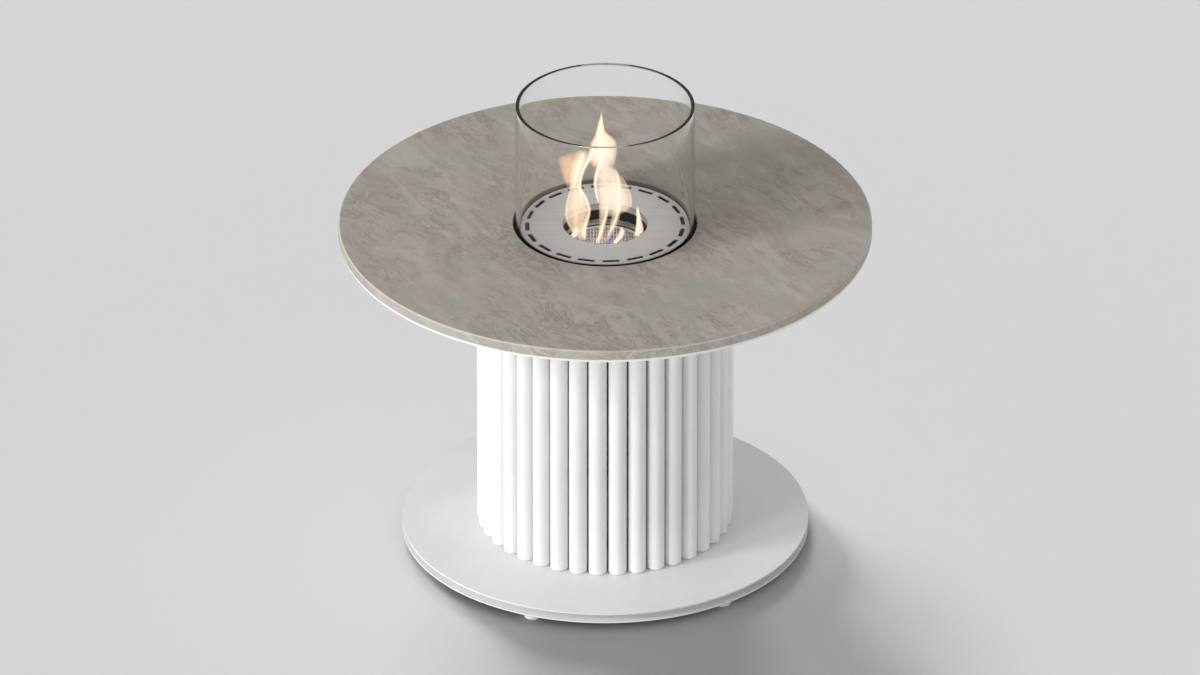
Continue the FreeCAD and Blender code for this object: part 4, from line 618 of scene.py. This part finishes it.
# Stations of the bright folds in the flames.
FOLDS = {
    "fold_shoulder": [
        (-43.6, 1, 687, 0.9, 1.4), (-43.6, 1, 700, 1.7, 2.1), (-46, 0, 717, 2.3, 2.1),
        (-48, 0, 734, 2.9, 2.8), (-46.2, -1, 751, 3.5, 2.8), (-42.2, -2, 768, 4, 3.5),
        (-36.1, -3, 783, 4.9, 3.5), (-29.2, -4, 797, 5.2, 3.5), (-24, -5, 811, 4.9, 3.5),
        (-21.1, -6, 826, 3.5, 2.8), (-19.1, -6, 841, 1.2, 1.4)],
    "fold_left_edge": [
        (-52.3, 0, 625, 2.6, 2.1), (-57.5, 0, 635, 4.3, 2.8), (-62.4, 0, 645, 4.6, 2.8),
        (-67.9, 0, 656, 4, 2.8), (-72.5, 0, 668, 3.2, 2.8), (-73.1, 0, 679, 3.2, 2.8),
        (-71.9, 0, 694, 2.9, 2.8), (-69.1, 0, 711, 2.6, 2.8), (-65.6, 0, 725, 2.3, 2.1),
        (-61.6, 0, 739, 1.2, 1.4)],
    "fold_left_bow": [
        (-37.3, 0, 620, 2.9, 2.1), (-39.6, 0, 633, 5.2, 3.5), (-39, 0, 645, 5.8, 3.5),
        (-36.1, 0, 656, 5.2, 3.5), (-32.7, 0, 668, 4, 2.8), (-28.9, 0, 681, 2.9, 2.8),
        (-30.4, 0, 694, 2.9, 2.8), (-35, 0, 707, 2.6, 2.8), (-41.6, 0, 721, 2.3, 2.1),
        (-47.7, 0, 737, 1.2, 1.4)],
    "fold_left_mid": [
        (-52.9, -1, 650, 1.7, 2.1), (-54.6, -1, 665, 2.6, 2.8), (-54.6, -1, 681, 2.6, 2.8),
        (-53.8, -1, 698, 2.6, 2.8), (-54, -1, 714, 2.6, 2.1), (-55.2, -1, 731, 1.4, 1.4)],
    "fold_neck": [
        (-11.9, -10, 703, 1.2, 2.1), (-15.1, -10, 718, 2.3, 2.8), (-17.4, -10, 731, 2.9, 2.8),
        (-19.1, -10, 744, 3.5, 2.8), (-18.5, -10, 757, 4.3, 3.5), (-15.9, -10, 769, 4.3, 3.5),
        (-12.5, -9, 782, 3.5, 3.5), (-9, -8, 794, 1.7, 2.1)],
    "fold_inner": [
        (4.3, -5, 628, 1.4, 2.1), (9.5, -6, 643, 2.6, 2.8), (15.3, -7, 657, 2.9, 2.8),
        (20.5, -8, 670, 2.9, 2.8), (23.9, -9, 684, 3.2, 2.8), (25.7, -10, 700, 3.5, 2.8),
        (26.2, -11, 717, 3.5, 2.8), (25.9, -11, 733, 3.5, 2.8), (25.1, -11, 751, 3.5, 2.8),
        (22.8, -11, 768, 2.9, 2.8), (17, -10, 782, 1.4, 2.1)],
    "fold_outer": [
        (44.7, -6, 691, 1.4, 2.1), (48.2, -6, 699, 2.6, 2.8), (48.5, -6, 711, 2.9, 2.8),
        (46.2, -6, 724, 2.9, 2.8), (41.5, -6, 737, 2.6, 2.8), (35.5, -6, 750, 2.3, 2.8),
        (29.1, -6, 763, 1.4, 2.1)],
    "fold_leg": [
        (-14.5, -6, 616, 2.3, 2.8), (-11.9, -7, 629, 3.5, 2.8), (-8.4, -8, 642, 3.5, 2.8),
        (-4.7, -8, 657, 3.2, 2.8), (0.2, -9, 673, 2.9, 2.8), (3.7, -9, 688, 2.6, 2.8),
        (4.9, -9, 704, 1.4, 2.1)],
    "fold_core": [
        (-9, -8, 774, 1.4, 2.1), (-7.8, -8, 783, 3.5, 2.8), (-7.8, -8, 794, 6.4, 4.9),
        (-9, -7, 807, 8.7, 6.3), (-10.2, -6, 823, 9.2, 6.3), (-10.2, -6, 839, 8.1, 5.6),
        (-9.6, -5, 855, 5.8, 4.9), (-7.6, -4, 871, 3.5, 3.5), (-6.4, -4, 888, 1.4, 2.1)],
    "fold_lobe": [
        (-58.1, -1, 731, 1.4, 2.1), (-56.9, -1, 741, 3.2, 2.8), (-55.2, -1, 754, 4.6, 3.5),
        (-51.7, -1, 771, 5.8, 4.2), (-46, -1, 787, 6.9, 4.2), (-41.9, -1, 800, 6.4, 3.5),
        (-40.8, -1, 810, 2.9, 2.1)],
    "fold_side": [
        (56.8, 1, 630, 1.4, 1.4), (60.3, 1, 641, 3.5, 2.8), (62.6, 1, 652, 3.5, 2.8),
        (62.6, 1, 665, 2.6, 2.1), (61.5, 1, 679, 2, 2.1), (60.9, 1, 690, 1.2, 1.4)],
}


def flames():
    """Tongues of flame that rise from the mesh through the opening of the plate."""
    blue, amber, honey = (0.25, 0.32, 0.95, 1.0), (1.0, 0.50, 0.22, 1.0), (1.0, 0.60, 0.33, 1.0)
    cream, white = (1.0, 0.73, 0.51, 1.0), (1.0, 0.86, 0.71, 1.0)
    # Each look: colours of the skin and of the heart from foot to tip, strength, cover, and the share of
    # the height over which the foot fades in.
    veil = ((honey, cream, cream), (cream, cream, cream), 1.60, 0.074, 0.08)
    lobe = ((honey, cream, cream), (cream, white, cream), 1.62, 0.084, 0.22)
    sheet = ((amber, honey, honey), (honey, honey, cream), 1.60, 0.028, 0.25)
    dense = ((honey, cream, honey), (cream, white, cream), 1.48, 0.130, 0.20)
    leg = ((honey, cream, cream), (cream, white, white), 1.35, 0.045, 0.10)
    small = ((cream, cream, cream), (white, white, white), 1.6, 0.095, 0.10)
    root = ((blue, blue, blue), (blue, blue, blue), 0.55, 0.050, 0.15)
    looks = {"flame_tall": dense, "flame_right": lobe, "flame_sheet": sheet, "flame_flag": sheet,
             "flame_leg_left": leg, "flame_leg_right": leg, "flame_side": small, "flame_low": small,
             "flame_foot": small, "flame_root": root}
    bright = ((cream, cream, cream), (white, white, white), 2.0, 0.095, 0.12)
    faint = ((honey, cream, cream), (cream, cream, white), 1.75, 0.055, 0.15)
    fold_looks = {"fold_left_edge": faint, "fold_left_mid": faint, "fold_outer": faint}
    for name, stations in FLAMES.items():
        flame(name, stations, VEIL_SHELLS, looks.get(name, veil))
    for name, stations in FOLDS.items():
        flame(name, stations, FOLD_SHELLS, fold_looks.get(name, bright))
    bpy.context.scene.cycles.transparent_max_bounces = CLEAR_LAYERS


# ---------------------------------------------------------------- studio
def clear_startup():
    """Removes the lamp and camera that Blender starts with."""
    for old in [each for each in bpy.data.objects if each.type in {"LIGHT", "CAMERA"}]:
        bpy.data.objects.remove(old)


def studio_floor():
    """Plain pale floor, far wider than the view."""
    work = bmesh.new()
    bmesh.ops.create_grid(work, x_segments=1, y_segments=1, size=FLOOR_HALF)
    finish = Finish("studio_floor_finish", (FLOOR_TONE, FLOOR_TONE, FLOOR_TONE, 1.0), Roughness=1.0,
                    Specular_IOR_Level=0.0)
    floor = piece("studio_floor", work, finish.material)
    return floor


def lamp_collection(name, pieces, shines):
    """What a lamp shines on: these pieces alone, or all but these."""
    group = bpy.data.collections.new(name)
    for number, each in enumerate(pieces):
        group.objects.link(each)
        group.collection_objects[number].light_linking.link_state = "INCLUDE" if shines else "EXCLUDE"
    return group


def sun(name, bearing, height, level, softness, receivers):
    """Far soft lamp. A level of 1 lights a facing surface as a white sky all round would."""
    data = bpy.data.lights.new(name, "SUN")
    data.energy = level * math.pi
    data.angle = math.radians(softness)
    lamp = bpy.data.objects.new(name, data)
    angle, rise = math.radians(bearing), math.radians(height)
    away = Vector((math.sin(angle) * math.cos(rise), -math.cos(angle) * math.cos(rise), math.sin(rise)))
    lamp.rotation_euler = away.to_track_quat("Z", "Y").to_euler()
    bpy.context.scene.collection.objects.link(lamp)
    lamp.light_linking.receiver_collection = receivers


def disc_lamp(name, level, radius, power, colour, pieces):
    """Level disc that shines down on the burner's pieces alone."""
    data = bpy.data.lights.new(name, "AREA")
    data.shape = "DISK"
    data.size = 2 * radius
    data.energy = power
    data.color = colour
    lamp = bpy.data.objects.new(name, data)
    lamp.location = (0.0, 0.0, level)
    bpy.context.scene.collection.objects.link(lamp)
    lamp.visible_camera = lamp.visible_transmission = lamp.visible_glossy = False
    lamp.light_linking.receiver_collection = lamp_collection(name + "_shines_on", pieces, True)


def sky():
    """Soft studio light, brightest near the horizon and dimmer overhead."""
    world = bpy.data.worlds.new("studio_sky")
    bpy.context.scene.world = world
    world.use_nodes = True
    tree = world.node_tree
    shade = tree.nodes["Background"]
    split = tree.nodes.new("ShaderNodeSeparateXYZ")
    tree.links.new(tree.nodes.new("ShaderNodeTexCoord").outputs["Generated"], split.inputs[0])
    ramp = tree.nodes.new("ShaderNodeValToRGB")
    low, high = ramp.color_ramp.elements
    low.position, high.position = SKY_FADE
    low.color = (HORIZON_LEVEL, HORIZON_LEVEL, HORIZON_LEVEL, 1.0)
    high.color = (SKY_LEVEL, SKY_LEVEL, SKY_LEVEL, 1.0)
    tree.links.new(split.outputs["Z"], ramp.inputs["Fac"])
    tree.links.new(ramp.outputs["Color"], shade.inputs["Color"])


def camera():
    """Long lens in front of the table, looking down on it."""
    data = bpy.data.cameras.new("camera")
    data.lens = CAMERA_LENS
    data.sensor_width = CAMERA_SENSOR
    data.clip_start, data.clip_end = CAMERA_REACH
    made = bpy.data.objects.new("camera", data)
    rise = math.radians(CAMERA_ELEVATION)
    away = Vector((0.0, -math.cos(rise), math.sin(rise)))
    made.location = CAMERA_AIM + away * CAMERA_DISTANCE
    made.rotation_euler = away.to_track_quat("Z", "Y").to_euler()
    bpy.context.scene.collection.objects.link(made)
    bpy.context.scene.camera = made


def studio(cloth, rim):
    """Camera, sky, floor and lamps. The far lamps pass the glass by."""
    clear_startup()
    camera()
    sky()
    floor = studio_floor()
    nodes = frame["nodes"]
    all_but = lamp_collection("table_lamp_passes_by", [floor, nodes["glass_cylinder"]], False)
    only = lamp_collection("floor_lamp_shines_on", [floor], True)
    for name, lamps, receivers in (("table_lamp", TABLE_LAMPS, all_but), ("floor_lamp", FLOOR_LAMPS, only)):
        for number, settings in enumerate(lamps, 1):
            sun("%s_%d" % (name, number), *settings, receivers)
    lit = [cloth, rim] + [nodes[name] for name in BURNER_LIT]
    for name, settings in BURNER_LAMPS.items():
        disc_lamp(name, *settings, lit)
    bpy.context.scene.view_settings.view_transform = "Standard"


# ---------------------------------------------------------------- all of it
finishes = dress_cad_pieces()
cloth = woven_wires(finishes["mesh_steel"])
rim = mesh_rim(finishes["mesh_steel"])
flames()
studio(cloth, rim)
